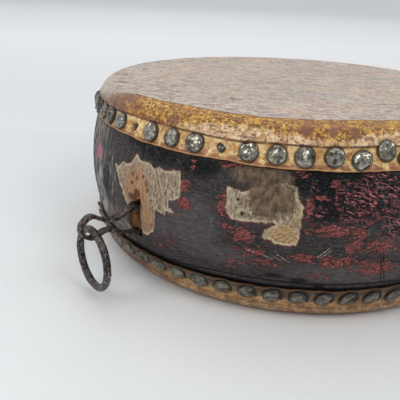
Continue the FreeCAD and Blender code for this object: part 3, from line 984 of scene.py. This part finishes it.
class Paint:
    """A material whose nodes are added by short calls that return their output."""

    def __init__(self, name, place_field=None):
        self.material = bpy.data.materials.new(name)
        self.material.use_nodes = True
        self.nodes = self.material.node_tree.nodes
        self.links = self.material.node_tree.links
        self.shader = self.nodes["Principled BSDF"]
        if place_field:
            self.place = self.field(place_field, "Vector")
        else:
            self.place = self.add("ShaderNodeTexCoord", "Object", {})

    def feed(self, socket, value):
        """Links an output to the socket, or sets a constant on it."""
        if isinstance(value, bpy.types.NodeSocket):
            self.links.new(value, socket)
        else:
            socket.default_value = value

    def add(self, kind, output, inputs, **settings):
        """Adds a node, feeds its inputs by name or number, and gives back one of its outputs."""
        node = self.nodes.new(kind)
        for name, value in settings.items():
            setattr(node, name, value)
        for socket, value in inputs.items():
            self.feed(node.inputs[socket], value)
        return node.outputs[output]

    def field(self, name, output="Fac"):
        """A value that the mesh holds for each point."""
        return self.add("ShaderNodeAttribute", output, {}, attribute_name=name)

    def stretch(self, vector, size, turn=0.0, offset=(0, 0, 0)):
        """Coordinates that grow by 1 over that size in mm, one size or three."""
        size = size if isinstance(size, tuple) else (size,) * 3
        inputs = {
            "Vector": vector,
            "Scale": [s * MM for s in size],
            "Rotation": (0, 0, math.radians(turn)),
            "Location": [o * MM for o in offset],
        }
        return self.add("ShaderNodeMapping", "Vector", inputs, vector_type="TEXTURE")

    def noise(self, size, detail=3.0, rough=0.55, turn=0.0, bend=0.0, offset=(0, 0, 0)):
        vector = self.stretch(self.place, size, turn, offset)
        inputs = {"Vector": vector, "Scale": 1, "Detail": detail, "Roughness": rough, "Distortion": bend}
        return self.add("ShaderNodeTexNoise", "Fac", inputs)

    def cell_edges(self, vector, size):
        """Distance to the nearest edge of a net of cells."""
        inputs = {"Vector": self.stretch(vector, size), "Scale": 1}
        return self.add("ShaderNodeTexVoronoi", "Distance", inputs, feature="DISTANCE_TO_EDGE")

    def sum(self, *values):
        return self.chain("ADD", values)

    def times(self, *values):
        return self.chain("MULTIPLY", values)

    def most(self, *values):
        return self.chain("MAXIMUM", values)

    def less(self, a, b):
        return self.chain("SUBTRACT", (a, b))

    def chain(self, operation, values):
        """All the values put together by that operation, two at a time."""
        result = values[0]
        for value in values[1:]:
            result = self.add("ShaderNodeMath", 0, {0: result, 1: value}, operation=operation)
        return result

    def step(self, value, start, end):
        """Eases from 0 at start to 1 at end, whichever is the larger."""
        inputs = {
            "Value": value,
            "From Min": min(start, end),
            "From Max": max(start, end),
            "To Min": 0 if start < end else 1,
            "To Max": 1 if start < end else 0,
        }
        return self.add("ShaderNodeMapRange", "Result", inputs, interpolation_type="SMOOTHSTEP")

    def sway(self, noise, reach):
        """Noise moved to lie about zero, times a reach."""
        return self.times(self.less(noise, 0.5), reach)

    def spot(self, field, start, end, *noises):
        """A field eased from 0 to 1, its edge made ragged by each (noise, reach)."""
        ragged = self.sum(self.field(field), *(self.sway(*pair) for pair in noises))
        return self.step(ragged, start, end)

    def mix(self, share, under, over):
        """One colour over another by that share."""
        return self.add("ShaderNodeMix", 2, {"Factor": share, 6: under, 7: over}, data_type="RGBA")

    def between(self, share, dark, light):
        """From one colour to another by that share."""
        return self.mix(share, colour(*dark), colour(*light))

    def tones(self, value, start, end, dark, light):
        """From one colour to another as the value passes from start to end."""
        return self.between(self.step(value, start, end), dark, light)

    def wash(self, under, share, over):
        """A colour laid over by that share."""
        return self.mix(share, under, colour(*over))

    def lay(self, under, value, start, end, most, over):
        """A colour laid over, up to a most, as the value passes from start to end."""
        return self.wash(under, self.times(self.step(value, start, end), most), over)

    def blend(self, share, low, high):
        """A value from low to high by that share."""
        return self.add("ShaderNodeMix", 0, {"Factor": share, 2: low, 3: high}, data_type="FLOAT")

    def bump(self, height, distance):
        """Small relief, with its depth in mm."""
        inputs = {"Height": height, "Distance": distance * MM, "Strength": 1}
        return self.add("ShaderNodeBump", "Normal", inputs)

    def finish(self, base, roughness, normal, metallic=0.0, specular=0.5):
        self.feed(self.shader.inputs["Base Color"], base)
        self.feed(self.shader.inputs["Roughness"], roughness)
        self.feed(self.shader.inputs["Normal"], normal)
        self.feed(self.shader.inputs["Metallic"], metallic)
        self.shader.inputs["Specular IOR Level"].default_value = specular
        return self.material


def lacquer_material():
    """Old black lacquer over red and gesso, flaked to the wood in places."""
    p = Paint("old_black_lacquer", "place")
    fine = p.noise(0.9, 3)
    broad = p.noise(14, 3)
    brushed = p.noise((6, 1.1, 5), 4, 0.6, bend=0.5)
    mottled = p.noise((2.6, 1.2, 2), 4, 0.6)
    grain = p.noise((0.7, 12, 3), 4, 0.6, bend=0.3)

    # black lacquer; its plum-grey spots are partly matt, worn lacquer and partly painted sheen
    dull_and_sheen = p.between(broad, (60, 56, 60), (76, 74, 78))
    dull_and_sheen = p.wash(dull_and_sheen, p.step(brushed, 0.35, 0.7), (86, 82, 84))
    dark = p.tones(brushed, 0.32, 0.68, (30, 28, 28), (64, 60, 60))
    dark = p.lay(dark, p.noise((4, 2, 3), 4, offset=(12, 9, 0)), 0.5, 0.68, 0.6, (56, 60, 58))
    # painted glints: small bluish-grey specks over the dark lacquer
    bluish_glints = p.noise((2.2, 1.2, 2), 4, 0.65, turn=-10, offset=(9, 63, 0))
    dark = p.lay(dark, bluish_glints, 0.55, 0.64, 0.55, (92, 98, 98))
    black = p.tones(mottled, 0.42, 0.75, (6, 6, 7), (34, 35, 37))
    # painted sheen and matt wear, where the plum-grey shows
    dullness_and_sheen = p.spot("dulled_and_sheen", 0.3, 0.8, (mottled, 0.6))
    base = p.mix(dullness_and_sheen, dark, dull_and_sheen)
    base = p.lay(base, p.noise((5, 3, 4), 3, offset=(31, 7, 0)), 0.52, 0.68, 0.45, (86, 52, 56))
    grime = p.step(p.noise((3.2, 1.8, 3), 5, 0.68, offset=(5, 44, 0)), 0.5, 0.62)
    base = p.wash(base, p.times(grime, dullness_and_sheen, 0.65), (104, 100, 88))
    base = p.lay(base, p.noise((1.8, 1.2, 2), 3, offset=(2, 91, 0)), 0.6, 0.68, 0.5, (118, 74, 76))
    blackness = p.spot("black", 0.25, 0.75, (mottled, 0.8))
    base = p.mix(blackness, base, black)
    glint = p.step(p.noise((1.9, 0.9, 2), 3, 0.6, turn=-8, offset=(71, 3, 0)), 0.6, 0.66)
    base = p.wash(base, p.times(glint, blackness, 0.6), (78, 90, 92))

    # red undercoat showing through in streaks
    flecks = p.noise((2.0, 1.1, 2), 3, 0.6, turn=8)
    flakes = p.noise((4.4, 1.7, 3), 4, 0.66, turn=12, bend=0.4, offset=(14, 22, 0))
    worn = p.sum(p.field("red"), p.sway(brushed, 0.7), p.sway(flakes, 3.4), p.sway(flecks, 0.7))
    red = p.tones(flecks, 0.38, 0.62, (100, 50, 46), (168, 92, 86))
    red = p.lay(red, fine, 0.49, 0.59, 0.8, (48, 42, 40))
    base = p.lay(base, worn, 0.6, 0.72, 0.55, (16, 14, 15))
    shows = p.step(worn, 0.73, 0.79)
    base = p.mix(p.times(shows, 0.95), base, red)

    # crazing: short pink strokes and a fine net of cracks
    strokes = p.noise((4.0, 0.9, 2), 2.4, 0.55, turn=-14, bend=0.8)
    cross = p.noise((1.0, 2.6, 2), 2.0, 0.5, turn=26, bend=0.6)
    crazed = p.sum(p.field("crazed"), p.sway(broad, 1.6), p.sway(mottled, 0.9))
    crazing = p.step(crazed, 0.42, 0.72)
    base = p.mix(p.times(crazing, 0.9), base, p.between(mottled, (4, 4, 6), (26, 25, 27)))
    stroke = p.most(p.step(strokes, 0.575, 0.605), p.times(p.step(cross, 0.62, 0.65), 0.8))
    stroke = p.times(stroke, crazing)
    base = p.mix(stroke, base, p.between(flecks, (120, 52, 58), (222, 140, 138)))
    swirl = p.add("ShaderNodeTexNoise", "Color", {"Vector": p.stretch(p.place, 3), "Scale": 1})
    shift = {0: swirl, 1: (1.6 * MM, 1.6 * MM, 0), 2: p.place}
    warped = p.add("ShaderNodeVectorMath", 0, shift, operation="MULTIPLY_ADD")
    net = p.cell_edges(warped, (3.6, 2.2, 4))
    crack = p.times(p.step(net, 0.06, 0.01), p.step(broad, 0.42, 0.66))
    base = p.wash(base, p.times(crack, p.blend(crazing, 0.3, 0.6)), (118, 108, 106))

    # brown oily stain
    stained = p.spot("stain", 0.35, 0.8, (mottled, 1.3))
    oil = p.tones(p.noise((2.2, 4, 3), 5, 0.65), 0.32, 0.68, (74, 60, 50), (132, 112, 90))
    oil = p.lay(oil, p.noise((3, 7, 3), 4, offset=(60, 0, 0)), 0.56, 0.7, 0.7, (142, 104, 70))
    base = p.mix(p.times(stained, 0.88), base, oil)

    # grey weathered wood where the lacquer has long gone
    weathered = p.tones(grain, 0.34, 0.66, (62, 58, 56), (172, 166, 160))
    dark_left = p.step(p.noise((3.4, 8, 4), 4), 0.46, 0.55)
    weathered = p.mix(p.times(dark_left, 0.65), weathered, p.between(mottled, (30, 34, 36), (74, 80, 80)))
    torn = p.noise((3.4, 8, 4), 5, 0.65, bend=0.8, offset=(41, 2, 0))
    shade = p.spot("shade", 0.35, 0.75, (torn, 3.4))
    weathered = p.mix(p.times(shade, 0.92), weathered, p.between(mottled, (20, 24, 26), (58, 66, 66)))
    streaked = p.noise((1.2, 8, 3), 3, 0.55, turn=-16)
    pale = p.times(p.step(p.field("pale"), 0.3, 0.8), p.step(streaked, 0.47, 0.56))
    weathered = p.wash(weathered, p.times(pale, 0.8), (196, 192, 186))
    grey = p.spot("grey", 0.2, 1.0, (grain, 0.5))
    base = p.mix(grey, base, weathered)

    smeared = p.noise((8, 2.4, 4), 4, 0.55, turn=-12, offset=(3, 19, 0))
    rubbed = p.spot("rubbed", 0.35, 0.95, (smeared, 1.6))
    base = p.mix(rubbed, base, p.tones(smeared, 0.36, 0.64, (64, 52, 50), (122, 110, 101)))

    # flaked patches
    plaster = p.noise((1.0, 3.2, 2), 5, 0.66, bend=0.5)
    cloudy = p.noise((5, 7, 3), 3)
    gesso = p.tones(plaster, 0.34, 0.66, (104, 88, 70), (202, 186, 162))
    gesso = p.lay(gesso, cloudy, 0.42, 0.66, 0.5, (150, 122, 94))
    gesso = p.lay(gesso, p.noise(1.3, 3), 0.56, 0.68, 0.75, (100, 82, 66))
    gesso = p.lay(gesso, p.noise(5, 3, offset=(3, 50, 0)), 0.54, 0.68, 0.5, (120, 122, 102))
    ochre = p.spot("ochre", 0.3, 0.8, (mottled, 0.8))
    yellow = p.tones(p.noise((1.6, 1.2, 2), 4, 0.65), 0.35, 0.65, (136, 104, 66), (204, 172, 126))
    gesso = p.mix(p.times(ochre, 0.8), gesso, yellow)
    gesso = p.mix(p.times(stained, 0.97), gesso, oil)
    timber = p.tones(grain, 0.3, 0.7, (138, 98, 66), (204, 160, 122))
    timber = p.lay(timber, cloudy, 0.46, 0.64, 0.75, (178, 154, 126))
    timber = p.lay(timber, plaster, 0.56, 0.66, 0.7, (112, 70, 42))
    brown = p.spot("brown", 0.35, 0.8, (plaster, 1.0))
    timber = p.wash(timber, p.times(brown, 0.85), (84, 48, 24))
    bareness = p.sum(p.field("wood"), p.sway(grain, 0.7), p.sway(plaster, 0.9))
    bare_skin = p.mix(p.step(bareness, 0.3, 0.9), gesso, timber)
    edge = p.sum(p.field("bare"), p.sway(fine, 0.9))
    rim = p.times(p.step(edge, -0.9, -0.3), p.step(edge, 0.5, 0.0))
    base = p.wash(base, p.times(rim, p.less(1.0, stained), 0.5), (112, 58, 52))
    # painted highlight: a cream line just inside the edges of the flaked patches
    cream_edge_highlight = p.times(p.step(edge, 0.15, 0.45), p.step(edge, 1.7, 0.9), p.step(cloudy, 0.36, 0.56))
    bare_skin = p.wash(bare_skin, p.times(cream_edge_highlight, p.less(1.0, stained), 0.6), (220, 206, 180))
    base = p.mix(p.step(edge, -0.12, 0.14), base, bare_skin)

    # splintered wood by the pin, and painted shade in the slot, the worm holes and the open cracks
    golden = p.tones(grain, 0.3, 0.7, (96, 60, 30), (160, 114, 66))
    base = p.mix(p.field("splinters"), base, golden)
    # painted shade: these hollows darkened nearly to black
    hollow = p.most(p.field("slot"), p.field("pits"), p.step(p.field("joint"), 0.25, 0.8))
    base = p.wash(base, p.times(hollow, 0.93), (22, 16, 12))
    smudge = p.spot("drips", 0.35, 1.0, (mottled, 1.2))
    base = p.wash(base, p.times(smudge, 0.85), (10, 9, 10))
    pink = p.spot("pink", 0.25, 1.0, (torn, 1.6), (mottled, 1.2))
    base = p.wash(base, p.times(pink, 0.66), (198, 120, 142))
    scratch = p.spot("scratch", 0.34, 0.1, (fine, 0.9))
    base = p.wash(base, p.times(scratch, 0.8), (176, 172, 166))
    line = p.times(p.step(p.field("low_line"), -0.9, -0.2), p.step(p.field("low_line"), 0.9, 0.2))
    base = p.wash(base, p.times(line, 0.85), (12, 10, 9))
    # painted shade on the shell just below the upper hide's edge and just above the lower hide's edge
    shade_by_hide_edges = p.most(p.step(p.field("below"), 1.7, 0.7), p.step(p.field("above"), 1.7, 0.6))
    base = p.wash(base, p.times(shade_by_hide_edges, 0.92), (9, 7, 7))

    open_skin = p.most(p.step(edge, -0.1, 0.1), grey, hollow)
    roughness = p.blend(open_skin, p.blend(mottled, 0.34, 0.56), 0.85)
    relief = p.sum(
        p.times(fine, 0.10), p.times(brushed, 0.16), p.times(crack, -0.2), p.times(stroke, -0.1),
        p.times(shows, -0.2), p.times(grain, p.blend(open_skin, 0.0, 0.35)),
        p.times(scratch, -0.08)
    )
    return p.finish(base, roughness, p.bump(relief, 1.0), specular=0.15)


def rawhide_material(upper):
    """Old rawhide: a grey, streaked playing face, an amber speckled shoulder and a nailed skirt."""
    p = Paint("upper_rawhide" if upper else "lower_rawhide")
    past = p.field("past")
    streaks = p.noise((34, 2.6, 10), 5, 0.62, turn=47, bend=0.5)
    fine_streaks = p.noise((9, 1.1, 5), 4, 0.6, turn=49, bend=0.6)
    broad = p.noise(38, 4, 0.5)
    speck = p.noise(1.7, 4, 0.72)
    blotch = p.noise(4.6, 4, 0.6)
    wide_blotch = p.noise(15, 3, 0.5, offset=(40, 13, 5))

    cloud = p.noise(7.5, 5, 0.65, bend=0.6)
    face = p.tones(streaks, 0.34, 0.66, (149, 133, 122), (195, 180, 165))
    face = p.lay(face, cloud, 0.42, 0.66, 0.6, (202, 190, 174))
    face = p.lay(face, cloud, 0.5, 0.34, 0.5, (140, 124, 120))
    mauve = p.noise(30, 4, 0.55, offset=(17, 60, 0))
    face = p.lay(face, mauve, 0.52, 0.66, 0.35, (176, 142, 146))
    face = p.lay(face, broad, 0.56, 0.68, 0.35, (208, 172, 148))
    straw = p.noise(22, 3, offset=(9, 80, 0))
    face = p.lay(face, straw, 0.56, 0.7, 0.3, (200, 184, 136))
    uneven = p.sway(cloud, 1.2)
    cool = p.step(p.sum(p.field("cool"), uneven), 0.3, 0.9)
    face = p.wash(face, p.times(cool, 0.5), (150, 160, 156))
    warm = p.step(p.sum(p.field("warm"), uneven), 0.3, 0.9)
    face = p.wash(face, p.times(warm, 0.45), (208, 168, 150))
    face = p.lay(face, fine_streaks, 0.53, 0.62, 0.65, (130, 111, 104))
    face = p.lay(face, fine_streaks, 0.47, 0.38, 0.5, (218, 206, 192))
    near_edge = p.step(past, -46, -8)
    flecks = p.noise((5.0, 2.4, 3), 5, 0.74, turn=50, offset=(33, 4, 0))
    dark_flecks = p.times(p.step(flecks, 0.54, 0.62), p.blend(near_edge, 0.3, 0.9))
    face = p.wash(face, dark_flecks, (122, 98, 96))
    light_flecks = p.times(p.step(flecks, 0.46, 0.38), p.blend(near_edge, 0.25, 0.8))
    face = p.wash(face, light_flecks, (226, 212, 200))
    pores = p.noise((2.0, 1.2, 2), 4, 0.65, turn=47)
    face = p.lay(face, pores, 0.55, 0.63, 0.75, (108, 90, 84))
    face = p.lay(face, pores, 0.45, 0.38, 0.5, (222, 210, 194))
    face = p.lay(face, p.field("scar"), 0.15, 0.5, 0.9, (56, 40, 40))

    # specks of colour on the skirt, and painted glints laid by the same noise
    specks_and_glints = p.noise(1.2, 3, 0.6, offset=(30, 0, 11))
    amber = p.tones(blotch, 0.36, 0.64, (152, 100, 34), (206, 154, 60))
    # painted glints on the amber
    amber = p.lay(amber, specks_and_glints, 0.54, 0.62, 0.7, (250, 212, 116))
    amber = p.lay(amber, speck, 0.49, 0.56, 0.9, (92, 52, 22))
    amber = p.lay(amber, wide_blotch, 0.52, 0.64, 0.45, (128, 74, 40))
    tan = p.tones(blotch, 0.3, 0.68, (172, 128, 82), (234, 204, 164))
    tan = p.lay(tan, specks_and_glints, 0.54, 0.64, 0.5, (208, 158, 84))
    # painted glints on the tan
    tan = p.lay(tan, specks_and_glints, 0.45, 0.38, 0.85, (254, 234, 192))
    tan = p.lay(tan, speck, 0.52, 0.6, 0.85, (118, 72, 44))
    tan = p.lay(tan, wide_blotch, 0.55, 0.66, 0.6, (144, 88, 66))
    down = p.sum(p.field("tan"), p.sway(blotch, 6), p.sway(wide_blotch, 5))
    skirt = p.mix(p.step(down, -1.8, 1.8), amber, tan)
    age = p.spot("age", 0.2, 0.95, (blotch, 1.0))
    old = p.tones(speck, 0.4, 0.62, (158, 138, 128), (98, 76, 68))
    # painted glints on the aged skirt
    old = p.lay(old, specks_and_glints, 0.51, 0.58, 0.75, (160, 130, 90))
    skirt = p.mix(p.times(age, 0.9), skirt, old)
    band = p.tones(blotch, 0.3, 0.66, (186, 134, 72), (238, 208, 146))
    band = p.lay(band, speck, 0.52, 0.62, 0.75, (142, 92, 48))
    rusty = p.noise(5, 4, offset=(70, 9, 30))
    low_edge = p.step(p.field("line"), 4.2, 1.4)
    reddish = p.step(p.sum(rusty, p.times(low_edge, 0.16)), 0.54, 0.64)
    band = p.wash(band, p.times(reddish, 0.75), (148, 82, 60))
    # painted glints: golden highlights on the band below the ridge
    golden_glints = p.noise((3.2, 3.2, 1.6), 4, 0.6, offset=(22, 5, 61))
    band = p.lay(band, golden_glints, 0.55, 0.66, 0.6, (252, 230, 178))
    band = p.mix(p.times(age, 0.6), band, old)
    blots = p.spot("blots", 0.3, 0.75, (speck, 0.9))
    skirt = p.wash(skirt, p.times(blots, 0.78), (116, 72, 56))
    ridge = p.field("ridge")
    skirt = p.mix(p.step(ridge, 0.3, -0.3), skirt, band)
    # painted shade: a dark maroon line under the ridge above the nails
    line = p.times(p.step(ridge, -0.9, -0.25), p.step(ridge, 0.55, 0.05))
    skirt = p.wash(skirt, p.times(line, p.step(blotch, 0.25, 0.5), 0.85), (84, 40, 32))
    # dirt and painted shade in a ring round each nail head
    around = p.spot("nail", 0.55, -0.1, (speck, 2.6))
    skirt = p.wash(skirt, p.times(around, 0.75), (84, 50, 28))
    rim = p.field("line")
    worn_rim = p.times(p.step(rim, 1.9, 1.2), p.step(blotch, 0.64, 0.44), 0.7)
    skirt = p.wash(skirt, worn_rim, (122, 66, 50))
    # painted highlight on the lip of the cut edge, and painted shade just past it
    skirt = p.lay(skirt, rim, 0.75, 0.45, 0.8, (190, 142, 90))
    skirt = p.wash(skirt, p.step(rim, -0.15, -0.3), (40, 26, 18))
    soft = p.sum(2.4, p.times(p.field("age"), 7))
    crossing = p.sum(p.field("start"), p.sway(p.noise(3.2, 4), soft))
    # painted highlight along the crease where the flat skin turns over the shoulder
    face = p.lay(face, crossing, -3.2, -0.6, 0.4, (210, 194, 182))
    softened = p.times(crossing, p.less(1.0, p.times(age, 0.8)))
    base = p.mix(p.step(softened, -0.5, 0.7), face, skirt)
    # painted shade: a dark line along the crease
    crease = p.times(p.step(crossing, -0.7, 0.1), p.step(crossing, 1.5, 0.5))
    base = p.wash(base, p.times(crease, p.less(1.0, age), 0.6), (88, 66, 34))
    if not upper:
        dark = p.tones(blotch, 0.35, 0.65, (108, 82, 58), (186, 138, 88))
        dark = p.lay(dark, speck, 0.52, 0.66, 0.85, (80, 54, 36))
        dark = p.mix(p.times(age, 0.7), dark, p.between(speck, (96, 74, 62), (46, 34, 30)))
        black_band = p.between(blotch, (26, 20, 18), (54, 40, 34))
        dark = p.mix(p.step(p.field("edge"), 7.2, 5.4), dark, black_band)
        base = p.mix(0.8, base, dark)
        # painted shadow: a black crescent beside the lifted side of each lower nail head
        gap_shadow = p.times(p.step(p.field("nail"), 1.5, 0.7), p.step(p.field("behind"), 1.0, 3.0))
        # more dirt and painted shade round the lower nail heads
        base = p.wash(base, p.times(around, 0.6), (60, 44, 32))
        base = p.wash(base, p.times(gap_shadow, 0.95), (14, 11, 9))
    base = p.wash(base, p.times(p.field("torn"), 0.96), (20, 12, 8))
    roughness = p.blend(p.step(past, 1, 4), 0.66, p.blend(speck, 0.38, 0.62))
    relief = p.sum(
        p.times(speck, 0.16), p.times(blotch, 0.2), p.times(fine_streaks, 0.12), p.times(streaks, 0.12),
        p.times(around, -0.15)
    )
    return p.finish(base, roughness, p.bump(relief, 1.0), specular=0.42)


def nail_material(upper):
    """Nail heads: worn steel, darker in the crevices, with painted shade round the rim, and olive traces
    of old paint with painted reflection of the golden hide.
    """
    p = Paint("upper_nail_steel" if upper else "lower_nail_steel")
    tone = p.field("tone")
    mottled = p.noise(2.4, 4, 0.62)
    fine = p.noise(0.8, 3)
    # painted shade round the rim, and darker crevices
    rim_shade_and_crevices = p.spot("dark", 0.35, 1.05, (mottled, 1.6))
    if upper:
        base = p.tones(mottled, 0.34, 0.64, (92, 88, 80), (192, 188, 176))
        # olive: traces of old paint, and painted reflection of the golden hide
        base = p.lay(base, p.noise(3.2, 3, offset=(5, 5, 5)), 0.54, 0.68, 0.7, (136, 130, 88))
        base = p.wash(base, p.times(rim_shade_and_crevices, 0.85), (38, 33, 28))
        metal = p.blend(rim_shade_and_crevices, 1.0, 0.35)
        roughness = p.blend(p.most(rim_shade_and_crevices, p.step(fine, 0.45, 0.7)), 0.16, 0.36)
        relief = p.sum(p.times(p.noise(3.2, 1.5, 0.5), 1.1), p.times(mottled, 0.15))
    else:
        base = p.tones(mottled, 0.36, 0.62, (70, 66, 60), (150, 144, 132))
        base = p.wash(base, p.times(rim_shade_and_crevices, 0.75), (34, 29, 24))
        metal = p.blend(rim_shade_and_crevices, 0.5, 0.2)
        roughness = p.blend(mottled, 0.36, 0.6)
        relief = p.sum(p.times(p.noise(2.6, 2, 0.5), 0.9), p.times(mottled, 0.4), p.times(fine, 0.1))
    base = p.wash(base, p.times(tone, 0.3), (58, 54, 50))
    return p.finish(base, roughness, p.bump(relief, 1.0), metal, 0.5)


def iron_material():
    """Forged iron: dark scale, brown rust bloom and bright specks painted as glints."""
    p = Paint("forged_dark_iron")
    mottled = p.noise(2.2, 4, 0.65)
    fine = p.noise(0.8, 4, 0.6)
    base = p.tones(mottled, 0.38, 0.62, (38, 34, 32), (98, 90, 86))
    # painted glints: small bright specks on the dark iron
    flakes = p.noise((0.8, 0.8, 1.8), 2, 0.5, offset=(4, 4, 4))
    base = p.lay(base, flakes, 0.58, 0.66, 0.7, (188, 182, 176))
    base = p.lay(base, p.noise(3.4, 3, offset=(8, 3, 1)), 0.52, 0.66, 0.6, (78, 54, 42))
    roughness = p.blend(p.step(fine, 0.35, 0.65), 0.2, 0.42)
    relief = p.sum(p.times(mottled, 0.8), p.times(fine, 0.3))
    return p.finish(base, roughness, p.bump(relief, 1.0), 0.8, 0.5)


def paint(piece, material):
    """Gives a piece that one material."""
    piece.data.materials.clear()
    piece.data.materials.append(material)


# ---------------------------------------------------------------- the drum

lacquer = lacquer_material()
for stave_number in range(1, STAVES + 1):
    paint(stave(stave_number), lacquer)
paint(hide(True), rawhide_material(True))
paint(hide(False), rawhide_material(False))
upper_heads = nail_row(
    "upper_nail_heads", "upper_nails", UPPER_PLACES,
    head=UPPER_NAIL_HEAD, rise=NAIL_RISE, cuts=12, dents=0.1, seed=5, tilt=(0, 0), sink=0.0,
)
lower_heads = nail_row(
    "lower_nail_heads", "lower_nails", LOWER_PLACES,
    head=LOWER_NAIL_HEAD, rise=1.6, cuts=9, dents=0.2, seed=6, tilt=(8, 10), sink=-0.1,
)
tack = nail_row(
    "small_tack_head", "small_tack", [upper_nail_place(TACK_PLACE)],
    head=TACK_HEAD, rise=1.5, cuts=4, dents=0.15, seed=7, tilt=(0, 0), sink=0.1,
)
paint(upper_heads, nail_material(True))
paint(lower_heads, nail_material(False))
iron = iron_material()
for iron_piece in (tack, forged_pin(), forged_ring()):
    paint(iron_piece, iron)


# ---------------------------------------------------------------- stage, light and camera

CAMERA_PLACE = Vector((207.7, -284.9, 156.0))
CAMERA_HEADING = 45.69
CAMERA_PITCH = 22.51
CAMERA_ROLL = 2.49
CAMERA_LENS = 46.745
FLOOR_HALF = 20000
ROOM_WEAKEST = 0.33
ROOM_STRONGEST = 0.72
FOLD_AWAY = 559  # from the camera to where the backdrop starts to rise, along the floor


def make_camera():
    """The photograph's camera, solved from the drum's rims and outline."""
    data = bpy.data.cameras.new("camera")
    data.lens = CAMERA_LENS
    data.sensor_width = 36
    data.clip_start = 0.01
    data.clip_end = 50
    camera = add_object("camera", data)
    heading = Matrix.Rotation(math.radians(CAMERA_HEADING), 4, "Z")
    pitch = Matrix.Rotation(math.radians(90 - CAMERA_PITCH), 4, "X")
    roll = Matrix.Rotation(math.radians(CAMERA_ROLL), 4, "Z")
    camera.matrix_world = Matrix.Translation(CAMERA_PLACE * MM) @ heading @ pitch @ roll
    bpy.context.scene.camera = camera


def floor_material():
    """Pale painted board, with painted shade just before the fold of the sweep and painted light beyond
    it, growing with distance.
    """
    p = Paint("pale_floor")
    heading = math.radians(CAMERA_HEADING)
    ahead = Vector((-math.sin(heading), math.cos(heading)))
    reached = {0: p.place, 1: (ahead.x, ahead.y, 0)}
    away = p.add("ShaderNodeVectorMath", "Value", reached, operation="DOT_PRODUCT")
    fold = (FOLD_AWAY + CAMERA_PLACE.xy.dot(ahead)) * MM
    beyond = p.step(away, fold - 0.012, fold + 0.006)
    cloud = p.noise(120, 3)
    near = p.between(cloud, (228, 230, 230), (236, 237, 238))
    # painted shade: the floor darkens toward the fold
    near = p.wash(near, p.step(away, fold - 0.4, fold), (222, 224, 226))
    # painted light: beyond the fold the floor brightens with distance
    far = p.tones(away, fold, fold + 1.1, (225, 227, 229), (248, 249, 250))
    base = p.mix(beyond, near, far)
    relief = p.noise(3, 3)
    return p.finish(base, 0.7, p.bump(relief, 0.15), specular=0.3)


def make_floor():
    """A wide floor under the drum, which is the stage."""
    mesh = bpy.data.meshes.new("floor")
    half = FLOOR_HALF * MM
    corners = [(-half, -half, 0), (half, -half, 0), (half, half, 0), (-half, half, 0)]
    mesh.from_pydata(corners, [], [(0, 1, 2, 3)])
    floor = add_object("floor", mesh)
    floor.location.z = cad_box[0].z
    floor.data.materials.append(floor_material())


def soft_light(name, azimuth, elevation, distance, width, height, power, tint=(1, 1, 1)):
    """A rectangular soft box aimed at the drum; azimuth as for the drum's own angles."""
    data = bpy.data.lights.new(name, "AREA")
    data.shape = "RECTANGLE"
    data.size = width
    data.size_y = height
    data.energy = power
    data.color = tint
    a, e = math.radians(azimuth), math.radians(elevation)
    out = Vector((math.sin(a) * math.cos(e), -math.cos(a) * math.cos(e), math.sin(e)))
    light = add_object(name, data)
    light.location = Vector((0, 0, MIDDLE * MM)) + out * distance
    light.rotation_euler = out.to_track_quat("Z", "Y").to_euler()


def make_world():
    """Pale room light, strongest overhead and behind the drum, weaker behind the camera."""
    world = bpy.data.worlds.new("room")
    world.use_nodes = True
    bpy.context.scene.world = world
    nodes, links = world.node_tree.nodes, world.node_tree.links
    background = nodes["Background"]
    place = nodes.new("ShaderNodeTexCoord")
    split = nodes.new("ShaderNodeVectorMath")
    split.operation = "DOT_PRODUCT"
    heading = math.radians(CAMERA_HEADING)
    split.inputs[1].default_value = (-math.sin(heading) * 0.7, math.cos(heading) * 0.7, 0.6)
    links.new(place.outputs["Generated"], split.inputs[0])
    ramp = nodes.new("ShaderNodeMapRange")
    ramp.inputs["From Min"].default_value = -0.9
    ramp.inputs["From Max"].default_value = 0.9
    ramp.inputs["To Min"].default_value = ROOM_WEAKEST
    ramp.inputs["To Max"].default_value = ROOM_STRONGEST
    links.new(split.outputs["Value"], ramp.inputs["Value"])
    background.inputs["Color"].default_value = colour(250, 252, 255)
    links.new(ramp.outputs["Result"], background.inputs["Strength"])


make_camera()
make_floor()
make_world()
soft_light("overhead_softbox", -60, 76, 1.7, 2.0, 2.0, 7.4)
soft_light("backdrop_softbox", -134, 40, 3.0, 3.0, 2.0, 9)
soft_light("left_softbox", -6, 36, 1.5, 0.7, 0.6, 4.5, (1.0, 0.99, 0.97))
soft_light("right_softbox", 92, 46, 1.6, 0.6, 0.6, 4, (0.98, 0.99, 1.0))
bpy.context.scene.view_settings.view_transform = "Standard"
